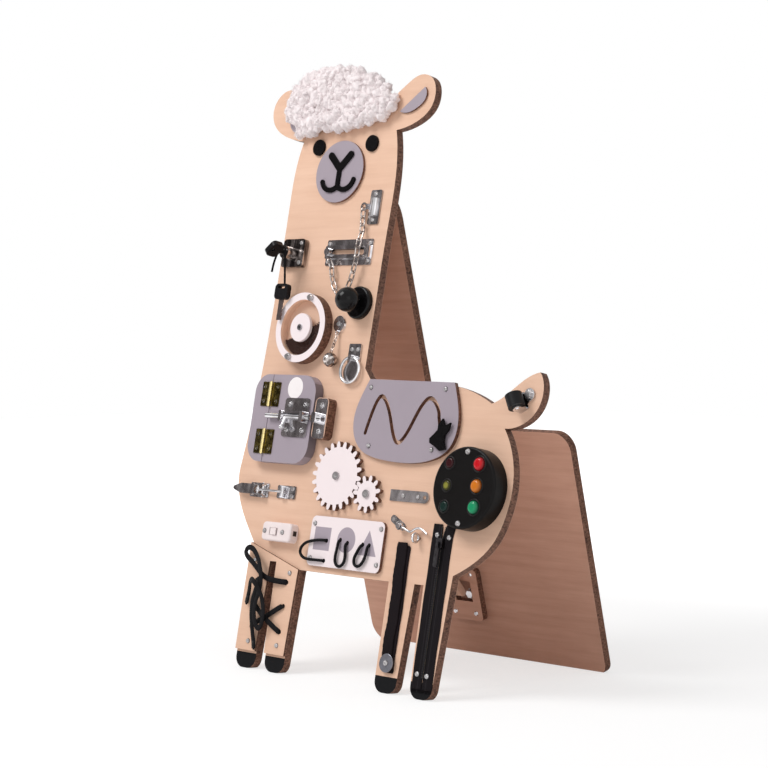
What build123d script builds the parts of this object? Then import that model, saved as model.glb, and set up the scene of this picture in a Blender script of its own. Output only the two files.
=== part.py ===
"""Wooden busy board in the shape of a llama, standing on a folding A-frame, in millimetres.

+Z is up, the activity side faces -Y, and the origin is under the middle of the object's box.
Places on the front board are (u, v, w): u to the right, v up the leaning face, w out of it.
"""

import os
from math import atan2, ceil, cos, degrees, hypot, pi, radians, sin, tan

from build123d import *

# ---- driving dimensions: the two boards and the stand ----
board_thickness = 12.0
front_lean = 11.65
foot_spread = 317.0  # from the front board's face to the rear panel's face, on the floor
drawing_x = 95.5  # moves the board's drawing so that the box is centred
drawing_y = -164.6
foot_corner = 15.0

# ---- driving dimensions: fasteners and fits ----
screw_radius = 1.6
screw_head_radius = 3.4
screw_head_height = 1.7
screw_bite = 8.0
screw_fit = 0.05
running_gap = 0.4
turning_gap = 0.05

# ---- driving dimensions: plates on the board ----
leg_panel_thickness = 4.0
leg_panel_low = 24.0
muzzle_thickness = 4.0
ear_plate_thickness = 3.0
mouth_thickness = 2.5
eye_radius = 11.5
eye_thickness = 3.5
wool_depth = 24.0
wool_edge = 9.0
maze_thickness = 6.0
maze_slot = 5.6
lacing_thickness = 5.0
door_thickness = 15.0
door_corner = 25.0
light_radius = 52.0
light_height = 24.0
light_wall = 2.5

# ---- driving dimensions: gears ----
gear_module = 3.927
large_teeth = 22
small_teeth = 11
gear_thickness = 6.0
gear_lift = 0.6
pressure_angle = 20.0
gear_backlash = 0.8
tooth_above = 0.85  # a tooth's height above and depth below the pitch circle, in modules
tooth_below = 1.1

# ---- driving dimensions: strut and stand hinges ----
hinge_knuckle = 4.0
hinge_leaf = 1.5
hinge_v = 668.04  # the stand hinge's height up the front board
rear_above_hinge = 13.0
rear_hip = 335.0
rear_sides = (-340.0, 104.5)
rear_neck = (-300.0, -141.0)
rear_drop = 4.0  # how far the rear panel is drawn below the floor before it is cut level
bracket_thickness = 10.0
strut_thickness = 10.0
strut_width = 20.0
strut_u = -132.0
strut_pivot_v = 336.94
strut_seat_height = 97.0
strut_seat_gap = 1.0
strut_pin_radius = 3.0

# ---- planes ----
along_v = Vector(0, sin(radians(front_lean)), cos(radians(front_lean)))
out_w = Vector(0, -cos(radians(front_lean)), sin(radians(front_lean)))
face = Plane(origin=(drawing_x, drawing_y, 0), x_dir=(1, 0, 0), z_dir=out_w)
back_face = Plane(
    origin=face.origin - out_w * board_thickness,
    x_dir=(-1, 0, 0),
    z_dir=-out_w,
)
hinge_w = -board_thickness - hinge_knuckle
hinge_back = hinge_v * along_v.Y + hinge_w * out_w.Y
hinge_height = hinge_v * along_v.Z + hinge_w * out_w.Z
hinge_reach = hypot(foot_spread - hinge_back, hinge_height)
rear_hinge_t = (hinge_reach**2 - hinge_knuckle**2) ** 0.5
rear_slope = atan2(foot_spread - hinge_back, hinge_height) - atan2(hinge_knuckle, rear_hinge_t)
rear_lean = degrees(rear_slope)
rear_top = rear_hinge_t + rear_above_hinge
rear_face = Plane(
    origin=(drawing_x, drawing_y + foot_spread, 0),
    x_dir=(1, 0, 0),
    z_dir=(0, -cos(radians(rear_lean)), -sin(radians(rear_lean))),
)

os.makedirs("parts", exist_ok=True)


def at(u, v, w):
    """A place on the front board, as a point of the whole object."""
    return face.from_local_coords(Vector(u, v, w))


def peg(places, low, high, radius, mode=Mode.ADD, plane=face):
    """Round pegs or holes square to a board, from one height to another."""
    with BuildSketch(plane.offset(low)) as profile:
        with Locations(*places):
            Circle(radius)
    return extrude(profile.sketch, amount=high - low, mode=mode)


def block(left, bottom, right, top, low, high, corner=0.0, mode=Mode.ADD, plane=face):
    """A plate or a slot with square or rounded corners, from one height to another."""
    with BuildSketch(plane.offset(low)) as profile:
        with Locations(((left + right) / 2, (bottom + top) / 2)):
            if corner:
                RectangleRounded(right - left, top - bottom, corner)
            else:
                Rectangle(right - left, top - bottom)
    extrude(profile.sketch, amount=high - low, mode=mode)


def drill(places, low, high, radius=screw_radius + screw_fit, plane=face):
    """Clear holes for screws or pins."""
    peg(places, low, high, radius, mode=Mode.SUBTRACT, plane=plane)


def screws(places, seat, head=screw_head_radius, bite=screw_bite, shank=screw_radius, plane=face):
    """Pan-head screws seated at a height, each shank running down from its head."""
    peg(places, seat - bite, seat, shank, plane=plane)
    with BuildSketch(plane.offset(seat)) as profile:
        with Locations(*places):
            Circle(head)
    extrude(profile.sketch, amount=screw_head_height, taper=25)


def bar_v(u, low, high, w, radius, mode=Mode.ADD):
    """A round bar that runs up the board."""
    with BuildSketch(Plane(origin=at(u, low, w), x_dir=(1, 0, 0), z_dir=along_v)) as profile:
        Circle(radius)
    extrude(profile.sketch, amount=high - low, mode=mode)


def bar_u(left, right, v, w, radius, mode=Mode.ADD):
    """A round bar that runs across the board."""
    with BuildSketch(Plane(origin=at(left, v, w), x_dir=along_v, z_dir=(1, 0, 0))) as profile:
        Circle(radius)
    extrude(profile.sketch, amount=right - left, mode=mode)


def stroke(start, end, width):
    """A straight stroke with round ends, in the current sketch."""
    length = hypot(end[0] - start[0], end[1] - start[1])
    with Locations(((start[0] + end[0]) / 2, (start[1] + end[1]) / 2)):
        SlotCenterToCenter(length, width, rotation=degrees(atan2(end[1] - start[1], end[0] - start[0])))


def cord_tube(name, points, diameter):
    """A cord along straight runs joined by arcs as large as the runs allow."""
    radii = []
    for before, corner, after in zip(points, points[1:], points[2:]):
        run = min((corner - before).length, (after - corner).length)
        radii.append(0.45 * run / tan(radians((corner - before).get_angle(after - corner)) / 2))
    with BuildLine() as route:
        FilletPolyline(*points, radius=radii)
    path = route.wires()[0]
    with BuildSketch(Plane(origin=points[0], z_dir=points[1] - points[0])) as profile:
        Circle(diameter / 2)
    sweep(profile.sketch, path=path)
    print(name, "length", round(path.length, 1), "radii", [round(radius, 1) for radius in radii])


def oval_link(plane, length, width, wire):
    """One closed chain link, its long side along the plane's x."""
    half = (length - width) / 2
    middle = (width - wire) / 2
    with BuildLine(plane) as loop:
        Line((-half, middle), (half, middle))
        ThreePointArc((half, middle), (half + middle, 0), (half, -middle))
        Line((half, -middle), (-half, -middle))
        ThreePointArc((-half, -middle), (-half - middle, 0), (-half, middle))
    start = plane.from_local_coords(Vector(0, middle, 0))
    with BuildSketch(Plane(origin=start, z_dir=plane.x_dir)) as profile:
        Circle(wire / 2)
    sweep(profile.sketch, path=loop.wires()[0])


def chain_links(points, length, width, wire, upright):
    """Links threaded along a smooth line, each turned a quarter from the one before."""
    with BuildLine() as line:
        Spline(*points)
    path = line.edges()[0]
    count = ceil(path.length / (length - 2 * wire - 0.2))
    for i in range(count):
        share = (i + 0.5) / count
        along = path % share
        side = along.cross(out_w).normalized()
        normal = side if i % 2 != upright else along.cross(side).normalized()
        oval_link(Plane(origin=path @ share, x_dir=along, z_dir=normal), length, width, wire)


# ---- front board: one sheet of plywood cut to the animal's outline ----
leg_edges = [(-291, -252), (-232, -194), (-20, 18), (44, 81)]
leg_gap_top = 148.0
belly = 141.0
front_gap = (-247.0, -234.0)
rear_gap = (26.0, 42.0)
front_leg_back = -189.0
rear_leg_back = (90.0, 158.0)
flank = [(90, 158), (118, 174), (148, 202), (165, 243), (168, 285), (160, 317), (142, 347)]
tail_low = [(142, 347), (170, 353), (190, 370), (197, 397), (188, 419)]
tail_high = [(188, 419), (180, 417), (150, 399), (115, 377.5)]
back = [(115, 377.5), (85, 390), (53, 398), (-10, 403), (-70, 404)]
nape_low = (-108.0, 404.0)
nape = [(-121, 418), (-119.5, 500), (-118, 600), (-117, 690), (-128, 747)]
right_ear = [
    (-128, 747), (-90, 757), (-67, 777), (-64, 796), (-72, 814), (-95, 822), (-118, 812), (-147, 793),
]
crown = [(-147, 793), (-185, 815), (-226, 822), (-267, 815), (-305, 793)]
left_ear = [
    (-305, 793), (-336, 812), (-358, 821), (-379, 812), (-388, 793), (-383, 774), (-358, 754), (-312, 742),
]
throat = [
    (-312, 742), (-320, 705), (-322, 640), (-322.5, 560), (-325, 450), (-330, 370), (-337, 310), (-341, 280),
]
chest = [(-341, 280), (-338, 240), (-319, 206), (-291, 172)]

# ---- places of the hardware on the board (u, v) ----
leg_panel_screws = [(-277, 147), (-204, 135), (-267, 36.5), (-209, 36.5)]
maze_screws = [(-98, 392), (38, 393), (-87, 314), (28, 314)]
lace_diameter = 4.0
lace_hole_radius = 2.9
lace_mouths = [(-141, 184), (-141, 157), (-115, 187), (-101, 184), (-72, 184), (-60, 184)]
leg_lace_holes = [(-266, 57), (-266, 90), (-266, 122), (-207, 55), (-207, 90), (-207, 122)]
lacing_screws = [(-167.5, 205.5), (-42, 206.5), (-42, 159.5), (-168, 159)]
lock_box = (-313.0, 558.0, -269.0, 598.0)
lock_screws = [(-275.5, 592), (-275.5, 564)]
lock_centre = (-291.0, 576.0)
track_box = (-229.0, 560.0, -139.0, 596.0)
track_screws = [(-224, 565.5), (-224, 590.5), (-144, 565.5), (-144, 590.5)]
anchor_box = (-157.0, 616.0, -136.0, 664.0)
anchor_screws = [(-146.5, 622), (-146.5, 658)]
knob_centre = (-148.0, 507.0)
spinner_centre = (-245.4, 470.7)
spinner_bolts = [(-231.4, 512.2), (-259.4, 429.2)]
bell_centre = (-181.5, 478.0)
bell_u = bell_centre[0] + 1
bell_eye_v = bell_centre[1] - 12.5
pull_centre = (-144.0, 412.0)
pull_screws = [(-148, 443), (-137, 443)]
door_left, door_low, door_right, door_high = -317.0, 282.0, -194.5, 404.0
door_post = 33.5
door_split = door_left + door_post
hinge_bands = [(door_low + 11, door_low + 45), (door_high - 45, door_high - 11)]
block_left, block_low, block_right, block_high = -191.0, 318.0, -165.0, 374.0
latch_v = 243.5
switch_box = (-262.0, 175.0, -204.0, 201.0)
switch_screws = [(-256, 188), (-220, 188)]
strap_screws = [(-14, 252.5), (13, 252.5)]
hook_screws = [(-25, 221.5), (-16.5, 217.2)]
hook_pivot = (-8.0, 212.8)
screw_eye = (24.0, 200.0)
light_centre = (108.5, 267.5)
light_screws = [(108.5, 312.5), (108.5, 222.5)]
light_buttons = [(131, 298), (131, 270.5), (131, 244)]
light_lenses = [(81, 297), (81, 268.5), (81, 242)]
zipper_rivets = [(55, 207), (76, 205), (54, 31), (71, 30)]
velcro_rivet = (1.0, 38.0)
caster_bolt = (176.5, 390.5)
large_gear_centre = (-138.8, 271.0)
gear_direction = -18.5
gear_distance = gear_module * (large_teeth + small_teeth) / 2
small_gear_centre = (
    large_gear_centre[0] + gear_distance * cos(radians(gear_direction)),
    large_gear_centre[1] + gear_distance * sin(radians(gear_direction)),
)
latch_screws = [(-307, 248.5), (-307, 238.5), (-226, 249), (-226, 238)]
post_screws = [(door_split - 12.5, v) for low, high in hinge_bands for v in (low + 7, high - 7)]
keeper_screws = [(-176, 363), (-176, 328)]
bead_window_radius = 39.0
stand_hinges = [(-288, -252), (-206, -170)]
leaf_places = [(u, hinge_v - 16) for left, right in stand_hinges for u in (left + 8, right - 8)]
clevis_places = [(strut_u - 20, strut_pivot_v), (strut_u + 20, strut_pivot_v)]
rear_leaf_places = [(u, rear_hinge_t - 16) for left, right in stand_hinges for u in (left + 8, right - 8)]
rear_bracket_places = [(-109.5, 122), (-149, 122), (-149, 65), (-109.5, 65)]
bracket_bolt = (-120.5, 91.5)

shallow_screws = (
    maze_screws + lacing_screws + track_screws + anchor_screws + pull_screws + lock_screws
    + latch_screws + switch_screws + strap_screws + hook_screws + light_screws + zipper_rivets
    + spinner_bolts + leg_panel_screws + [velcro_rivet, bell_centre]
)

with BuildPart() as front_board:
    with BuildSketch(face.offset(-board_thickness)) as board_sketch:
        with BuildLine():
            Polyline(
                chest[-1],
                (leg_edges[0][0], 0),
                (leg_edges[0][1], 0),
                (front_gap[0], leg_gap_top),
                (front_gap[1], leg_gap_top),
                (leg_edges[1][0], 0),
                (leg_edges[1][1], 0),
                (front_leg_back, belly),
                (leg_edges[2][0], belly),
                (leg_edges[2][0], 0),
                (leg_edges[2][1], 0),
                (rear_gap[0], belly + 1),
                (rear_gap[1], belly + 1),
                (leg_edges[3][0], 0),
                (leg_edges[3][1], 0),
                rear_leg_back,
            )
            Spline(*flank)
            Spline(*tail_low)
            Spline(*tail_high)
            Spline(*back)
            Polyline(back[-1], nape_low, nape[0])
            Spline(*nape)
            Spline(*right_ear)
            Spline(*crown)
            Spline(*left_ear)
            Spline(*throat)
            Spline(*chest)
        make_face()
        feet = board_sketch.vertices().filter_by(lambda corner: abs(corner.Y) < 0.01)
        fillet(feet, foot_corner)
    extrude(amount=board_thickness)
    drill(shallow_screws, -screw_bite, 0)
    axle_places = [large_gear_centre, small_gear_centre, spinner_centre, knob_centre, caster_bolt]
    drill(axle_places, -screw_bite, 0, 2.05)
    drill([screw_eye], -screw_bite, 0)
    drill(lace_mouths + leg_lace_holes, -board_thickness, 0, lace_hole_radius)
    drill([(-u, v) for u, v in leaf_places + clevis_places], -screw_bite, 0, plane=back_face)
    split(bisect_by=Plane.XY, keep=Keep.TOP)
front_board.part.label = "front_board"
export_step(front_board.part, "parts/front_board.step")

# ---- leg panel: a thin sheet over both front legs, laced through its holes ----
with BuildPart() as leg_panel:
    with BuildSketch(face):
        with BuildLine():
            slope = (front_leg_back - leg_edges[1][1]) / belly
            inner = (front_gap[0] - leg_edges[0][1]) / leg_gap_top
            outer = (front_gap[1] - leg_edges[1][0]) / leg_gap_top
            Polyline(
                (leg_edges[0][0], leg_panel_low),
                (leg_edges[0][1] + inner * leg_panel_low, leg_panel_low),
                (front_gap[0], leg_gap_top),
                (front_gap[1], leg_gap_top),
                (leg_edges[1][0] + outer * leg_panel_low, leg_panel_low),
                (leg_edges[1][1] + slope * leg_panel_low, leg_panel_low),
                (front_leg_back, belly),
                (leg_edges[0][0], belly + 29.5),
                close=True,
            )
        make_face()
    extrude(amount=leg_panel_thickness)
    drill(leg_panel_screws, 0, leg_panel_thickness)
    drill(leg_lace_holes, 0, leg_panel_thickness, lace_hole_radius)
leg_panel.part.label = "leg_panel"
export_step(leg_panel.part, "parts/leg_panel.step")

# ---- face: muzzle and inner-ear plates, eyes, nose and mouth, wool ----
muzzle_centre = (-225.0, 693.0)
eye_places = [(-276, 730.5), (-170, 730.5)]
nose = (-224, 697)
nose_foot = (-224, 670)
nostrils = [(-244, 716), (-205, 716)]
smile = [[(-255, 679), (-241, 667), (-225, 671)], [(-223, 671), (-207, 667), (-193, 680)]]
right_inner_ear = [(-124, 772), (-107, 769.5), (-90, 776), (-79, 786), (-77.5, 794), (-82, 803)]
left_inner_ear = [(-312, 757), (-322, 754.5), (-334, 757), (-343, 766), (-345, 776), (-338, 788)]
with BuildPart() as face_plates:
    with BuildSketch(face):
        with Locations(muzzle_centre):
            Ellipse(46.5, 44.0)
    extrude(amount=muzzle_thickness)
    for points in (right_inner_ear, left_inner_ear):
        with BuildSketch(face):
            with BuildLine():
                Spline(*points)
                Line(points[-1], points[0])
            make_face()
        extrude(amount=ear_plate_thickness)
face_plates.part.label = "grey_face_plates"
export_step(face_plates.part, "parts/grey_face_plates.step")

with BuildPart() as face_inlays:
    peg(eye_places, 0, eye_thickness, eye_radius)
    with BuildSketch(face.offset(muzzle_thickness)):
        for nostril in nostrils:
            stroke(nostril, nose, 10)
        stroke(nose, nose_foot, 7.5)
        for points in smile:
            with BuildLine(mode=Mode.PRIVATE) as cheek_line:
                ThreePointArc(*points)
            SlotArc(cheek_line.edges()[0], 7)
    extrude(amount=mouth_thickness)
face_inlays.part.label = "black_face_pieces"
export_step(face_inlays.part, "parts/black_face_pieces.step")

wool_outline = [
    (-348, 792), (-340, 820), (-306, 839), (-262, 845), (-215, 841), (-170, 826), (-134, 800),
    (-126, 776), (-138, 760), (-178, 752), (-225, 748), (-270, 747), (-300, 747), (-318, 753), (-341, 769),
]
with BuildPart() as wool_pad:
    with BuildSketch(face.offset(ear_plate_thickness + running_gap)):
        with BuildLine():
            Spline(*wool_outline, periodic=True)
        make_face()
    extrude(amount=wool_depth)
    fillet(wool_pad.faces().sort_by(Axis(face.origin, out_w))[-1].edges(), wool_edge)
wool_pad.part.label = "wool_pad"
export_step(wool_pad.part, "parts/wool_pad.step")

# ---- lock with its key, and the spare key on a cord ----
lock_height = 8.0
barrel_high = 25.0
barrel_radius = 9.0
key_stem = 3.0
collar_radius = 4.0
collar_high = 33.0
bow_high = 53.0
bow_thickness = 7.0
with BuildPart() as lock_case:
    block(*lock_box, 0, lock_height, 5)
    peg([lock_centre], lock_height, barrel_high, barrel_radius)
    drill([lock_centre], lock_height, barrel_high, key_stem + turning_gap)
    drill(lock_screws, 0, lock_height)
lock_case.part.label = "lock_case"
export_step(lock_case.part, "parts/lock_case.step")

key_rest = radians(50)  # how far the key is turned from upright
bow_side = Vector(cos(key_rest), 0, 0) - along_v * sin(key_rest)
key_plane = Plane(origin=at(*lock_centre, 0) - bow_side * bow_thickness / 2, x_dir=out_w, z_dir=bow_side)
with BuildPart() as lock_key:
    peg([lock_centre], lock_height + 2, barrel_high + 1, key_stem)
    peg([lock_centre], barrel_high + 1, collar_high, collar_radius)
    with BuildSketch(key_plane):
        with Locations(((collar_high + bow_high) / 2, 0)):
            RectangleRounded(bow_high - collar_high, 24, 6)
        with Locations((bow_high - 6, 0)):
            Circle(2.5, mode=Mode.SUBTRACT)
    extrude(amount=bow_thickness)
lock_key.part.label = "lock_key"
export_step(lock_key.part, "parts/lock_key.step")

spare_key_u = -287.0
spare_key_top = 531.0
spare_key_w = 16.0
with BuildPart() as spare_key:
    with BuildSketch(face.offset(spare_key_w)):
        with Locations((spare_key_u, spare_key_top - 11)):
            RectangleRounded(26, 22, 6)
        with Locations((spare_key_u, spare_key_top - 5)):
            SlotOverall(14, 3.4, mode=Mode.SUBTRACT)
    extrude(amount=bow_thickness)
    with BuildSketch(face.offset(spare_key_w + 2.4)):
        with Locations((spare_key_u, spare_key_top - 36)):
            Rectangle(8, 30)
        for notch in range(4):
            with Locations((spare_key_u + 4, spare_key_top - 28 - 6 * notch)):
                Circle(1.2, mode=Mode.SUBTRACT)
    extrude(amount=2.2)
spare_key.part.label = "spare_key"
export_step(spare_key.part, "parts/spare_key.step")

key_cord_diameter = 3.0
key_cord_route = [
    (-303, 546, 31), (-302.4, 556, 31), (-300.6, 565, 30.6), (-298.5, 572.5, 30), (-298, 579.8, 29.6),
    (-293, 584.2, 29.4), (-286.3, 582.6, 29.3), (-283.2, 576.6, 29.2), (-283.8, 566, 27.4),
    (-284.6, 556, 25), (-285.3, 545, 22.2), (-285.5, 531.5, 19.5),
]
with BuildPart() as key_cord:
    cord_tube("key_cord", [at(*place) for place in key_cord_route], key_cord_diameter)
key_cord.part.label = "key_cord"
export_step(key_cord.part, "parts/key_cord.step")

# ---- door chain: slotted track, sliding stud, anchor plate and chain ----
track_plate = 1.5
track_high = 6.0
anchor_socket = 5.5
slot_low, slot_high = 574.6, 581.4
stud_start = -219.0
stud_travel = 50.0
slot_v = (slot_low + slot_high) / 2
with BuildPart() as chain_plates:
    block(*track_box, 0, track_plate, 2)
    block(-227, slot_v - 9, -141, slot_v + 9, track_plate, track_high, 2)
    block(-225.5, slot_v - 6.5, -145, slot_v + 6.5, track_plate, track_high - 1.5, mode=Mode.SUBTRACT)
    block(-223, slot_low, -155, slot_high, 0, track_high, 3.3, mode=Mode.SUBTRACT)
    block(-160, slot_v - 6.2, -147.5, slot_v + 6.2, track_plate, track_high, mode=Mode.SUBTRACT)
    drill(track_screws, 0, track_plate)
    block(*anchor_box, 0, 2, 3)
    drill(anchor_screws, 0, 2)
    with BuildSketch(Plane(origin=at(-146.5, 652, 2), x_dir=(1, 0, 0), z_dir=-along_v)):
        Circle(anchor_socket)
        Rectangle(14, 14, align=(Align.CENTER, Align.MAX), mode=Mode.SUBTRACT)
    extrude(amount=24)
    with BuildSketch(Plane(origin=at(-163, 640, 6.6), x_dir=(1, 0, 0), z_dir=out_w)):
        Circle(6)
        Circle(3.4, mode=Mode.SUBTRACT)
    extrude(amount=-2.4)
    block(-159.5, 636, -154, 644, 2, 6.6)
chain_plates.part.label = "chain_plates"
export_step(chain_plates.part, "parts/chain_plates.step")

with BuildPart() as chain_slider:
    peg([(stud_start, slot_v)], track_plate + running_gap, track_high - 1.5 - running_gap, 5.5)
    stud_radius = (slot_high - slot_low) / 2 - running_gap
    peg([(stud_start, slot_v)], track_plate + running_gap, track_high + 5, stud_radius)
    peg([(stud_start, slot_v)], track_high + running_gap, track_high + 5, 5.2)
chain_slider.part.label = "chain_slider"
export_step(chain_slider.part, "parts/chain_slider.step")

chain_length, chain_width, chain_wire = 16.5, 9.4, 2.2
chain_route = [
    (-163, 637.2, 5.4), (-162, 622, 6), (-158, 604, 8), (-156.5, 588, 12.2), (-156.5, 570, 12.4),
    (-159.5, 553, 11.4), (-162.5, 540, 10.6), (-167, 528, 10.2), (-174, 518.5, 9.8), (-183, 516.5, 9),
    (-191.5, 522.5, 8), (-199.5, 533, 7.2), (-205, 545, 7), (-208.5, 557, 7.5), (-212, 566, 11),
]
with BuildPart() as door_chain:
    chain_links([at(*place) for place in chain_route], chain_length, chain_width, chain_wire, True)
door_chain.part.label = "door_chain"
export_step(door_chain.part, "parts/door_chain.step")

# ---- turning knob on its rose ----
rose_radius = 22.5
rose_high = 8.0
knob_neck = 8.0
knob_ball = 16.8
knob_ball_w = 25.5
with BuildPart() as knob_base:
    peg([knob_centre], 0, rose_high, rose_radius)
    fillet(knob_base.faces().sort_by(Axis(face.origin, out_w))[-1].edges(), 3)
    drill([knob_centre], 0, rose_high, 2.05)
knob_base.part.label = "knob_base"
export_step(knob_base.part, "parts/knob_base.step")

with BuildPart() as knob:
    peg([knob_centre], rose_high + running_gap, knob_ball_w, knob_neck)
    with Locations(Plane(origin=at(*knob_centre, knob_ball_w), z_dir=out_w)):
        Sphere(knob_ball)
    peg([knob_centre], -screw_bite + 1, rose_high + running_gap, 2.0)
knob.part.label = "knob"
export_step(knob.part, "parts/knob.step")

# ---- bead spinner: ring case, clear disc on a hub, loose beads inside ----
case_radius = 49.0
case_high = 11.0
ring_high = 15.0
bead_cavity = 40.0
bead_floor = 2.0
disc_low, disc_high = 8.6, 10.6
hub_radius = 20.0
hub_high = 15.0
bead_level = -3.0
bead_tilt = 22.0
with BuildPart() as spinner_case:
    peg([spinner_centre], 0, case_high, case_radius)
    peg([spinner_centre], bead_floor, case_high, bead_cavity, mode=Mode.SUBTRACT)
    peg([spinner_centre], case_high, ring_high, case_radius)
    peg([spinner_centre], case_high, ring_high, bead_window_radius, mode=Mode.SUBTRACT)
    drill(spinner_bolts, 0, ring_high)
    drill([spinner_centre], 0, bead_floor, 2.05)
spinner_case.part.label = "spinner_case"
export_step(spinner_case.part, "parts/spinner_case.step")

with BuildPart() as spinner_window:
    peg([spinner_centre], disc_low, disc_high, bead_window_radius - running_gap)
    peg([spinner_centre], disc_low, disc_high, 6.0 + screw_fit, mode=Mode.SUBTRACT)
spinner_window.part.label = "spinner_window"
export_step(spinner_window.part, "parts/spinner_window.step")

with BuildPart() as spinner_hub:
    peg([spinner_centre], disc_high, hub_high, hub_radius)
    fillet(spinner_hub.faces().sort_by(Axis(face.origin, out_w))[-1].edges(), 1)
    peg([spinner_centre], bead_floor + running_gap, disc_high, 6.0)
    peg([spinner_centre], bead_floor + running_gap, hub_high + 1.8, 4.2)
    peg([spinner_centre], -screw_bite + 1, bead_floor + running_gap, 2.0)
spinner_hub.part.label = "spinner_hub"
export_step(spinner_hub.part, "parts/spinner_hub.step")

with BuildPart() as spinner_beads:
    with BuildSketch(face.offset(bead_floor)):
        with Locations(spinner_centre):
            Circle(bead_cavity - running_gap)
            Circle(6.6, mode=Mode.SUBTRACT)
            with Locations(Rotation(0, 0, bead_tilt) * Location((0, bead_cavity + bead_level, 0))):
                Rectangle(3 * bead_cavity, 2 * bead_cavity, mode=Mode.SUBTRACT)
    extrude(amount=disc_low - bead_floor - running_gap)
spinner_beads.part.label = "spinner_beads"
export_step(spinner_beads.part, "parts/spinner_beads.step")

# ---- bell on its oval plate ----
bell_radius = 10.0
bell_drop = 38.5
bell_v = bell_eye_v - bell_drop
bell_eye_w = 4.0
with BuildPart() as bell_plate:
    with BuildSketch(face):
        with Locations(bell_centre):
            Ellipse(11.5, 12.5)
    extrude(amount=3, taper=20)
    drill([bell_centre], 0, 3)
    with BuildSketch(Plane(origin=at(bell_u, bell_eye_v, bell_eye_w), x_dir=along_v, z_dir=(1, 0, 0))):
        Circle(3.6)
        Circle(2.2, mode=Mode.SUBTRACT)
    extrude(amount=0.8, both=True)
bell_plate.part.label = "bell_plate"
export_step(bell_plate.part, "parts/bell_plate.step")

with BuildPart() as jingle_bell:
    with Locations(Plane(origin=at(bell_u, bell_v, bell_radius + running_gap), z_dir=along_v)):
        Sphere(bell_radius)
        Sphere(bell_radius - 1.0, mode=Mode.SUBTRACT)
        with Locations((0, 0, -bell_radius)):
            Box(2 * bell_radius, 2, bell_radius, mode=Mode.SUBTRACT)
            Box(2, 2 * bell_radius, bell_radius, mode=Mode.SUBTRACT)
        with Locations((0, 0, -bell_radius + 4.5)):
            Sphere(2.6)
    eye_centre = at(bell_u, bell_v + bell_radius + 1.5, bell_radius + running_gap)
    with BuildSketch(Plane(origin=eye_centre, x_dir=along_v, z_dir=(1, 0, 0))):
        Circle(2.6)
        Circle(1.5, mode=Mode.SUBTRACT)
    extrude(amount=0.6, both=True)
    link_top, link_foot = bell_eye_v - 1.9, bell_v + bell_radius + 2.8
    link_middle = (bell_u, (link_top + link_foot) / 2, bell_eye_w + 2.8)
    link_run = [(bell_u, link_top, bell_eye_w), link_middle, (bell_u, link_foot, bell_radius + running_gap)]
    chain_links([at(*place) for place in link_run], 7.6, 4.6, 1.0, False)
jingle_bell.part.label = "jingle_bell"
export_step(jingle_bell.part, "parts/jingle_bell.step")

# ---- ring pull in a staple on its backing plate ----
pull_plate_thickness = 2.5
pull_ring_radius = 17.5
pull_wire = 2.0
pull_axis_v = 431.0
pull_axis_w = 6.4
pull_drop = 16.5
with BuildPart() as pull_plate:
    block(-155, 424, -132, 451, 0, pull_plate_thickness, 2)
    peg([pull_centre], 0, pull_plate_thickness, 15.5)
    block(-146.5, 427.2, -141.5, 434.8, pull_plate_thickness, pull_axis_w + 3.6, 2)
    bar_u(-148, -140, pull_axis_v, pull_axis_w, pull_wire + turning_gap, mode=Mode.SUBTRACT)
    drill(pull_screws, 0, pull_plate_thickness)
pull_plate.part.label = "pull_plate"
export_step(pull_plate.part, "parts/pull_plate.step")

ring_half = (pull_ring_radius**2 - pull_drop**2) ** 0.5
ring_opening = degrees(atan2(ring_half, pull_drop))
ring_centre = at(pull_centre[0], pull_axis_v - pull_drop, pull_axis_w)
ring_plane = Plane(origin=ring_centre, x_dir=(1, 0, 0), z_dir=out_w)
with BuildPart() as pull_ring:
    bar_u(pull_centre[0] - ring_half, pull_centre[0] + ring_half, pull_axis_v, pull_axis_w, pull_wire)
    with BuildLine(ring_plane) as ring_arc:
        CenterArc((0, 0), pull_ring_radius, 90 + ring_opening, 360 - 2 * ring_opening)
    arc_path = ring_arc.edges()[0]
    with BuildSketch(Plane(origin=arc_path @ 0, z_dir=arc_path % 0)):
        Circle(pull_wire)
    sweep(path=ring_arc.wires()[0])
    with Locations(at(pull_centre[0] - ring_half, pull_axis_v, pull_axis_w)):
        Sphere(pull_wire)
    with Locations(at(pull_centre[0] + ring_half, pull_axis_v, pull_axis_w)):
        Sphere(pull_wire)
pull_ring.part.label = "pull_ring"
export_step(pull_ring.part, "parts/pull_ring.step")

# ---- little door: fixed post, swinging leaf, brass hinges, barrel bolt ----
pin_w = door_thickness + 2.9
hinge_plate = 1.4
hinge_half = 18.0
with BuildPart() as door_blocks:
    block(door_left, door_low, door_right, door_high, 0, door_thickness, door_corner)
    cut_u = door_split - 0.6
    block(cut_u, door_low, door_right, door_high, 0, door_thickness, mode=Mode.SUBTRACT)
    drill(post_screws, door_thickness - screw_bite, door_thickness)
    block(block_left, block_low, block_right, block_high, 0, door_thickness, 7)
    drill(keeper_screws, door_thickness - screw_bite, door_thickness)
door_blocks.part.label = "door_blocks"
export_step(door_blocks.part, "parts/door_blocks.step")

leaf_screws = [(door_split + 13, v) for low, high in hinge_bands for v in (low + 7, high - 7)]
bolt_screws = [(-239, 363), (-209, 363), (-240, 328), (-210, 328)]
with BuildPart() as door_leaf:
    block(door_left, door_low, door_right, door_high, running_gap, door_thickness, door_corner)
    cut_u = door_split + 0.6
    block(door_left, door_low, cut_u, door_high, 0, door_thickness, mode=Mode.SUBTRACT)
    drill(leaf_screws + bolt_screws, door_thickness - screw_bite, door_thickness)
door_leaf.part.label = "door_leaf"
export_step(door_leaf.part, "parts/door_leaf.step")


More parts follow.
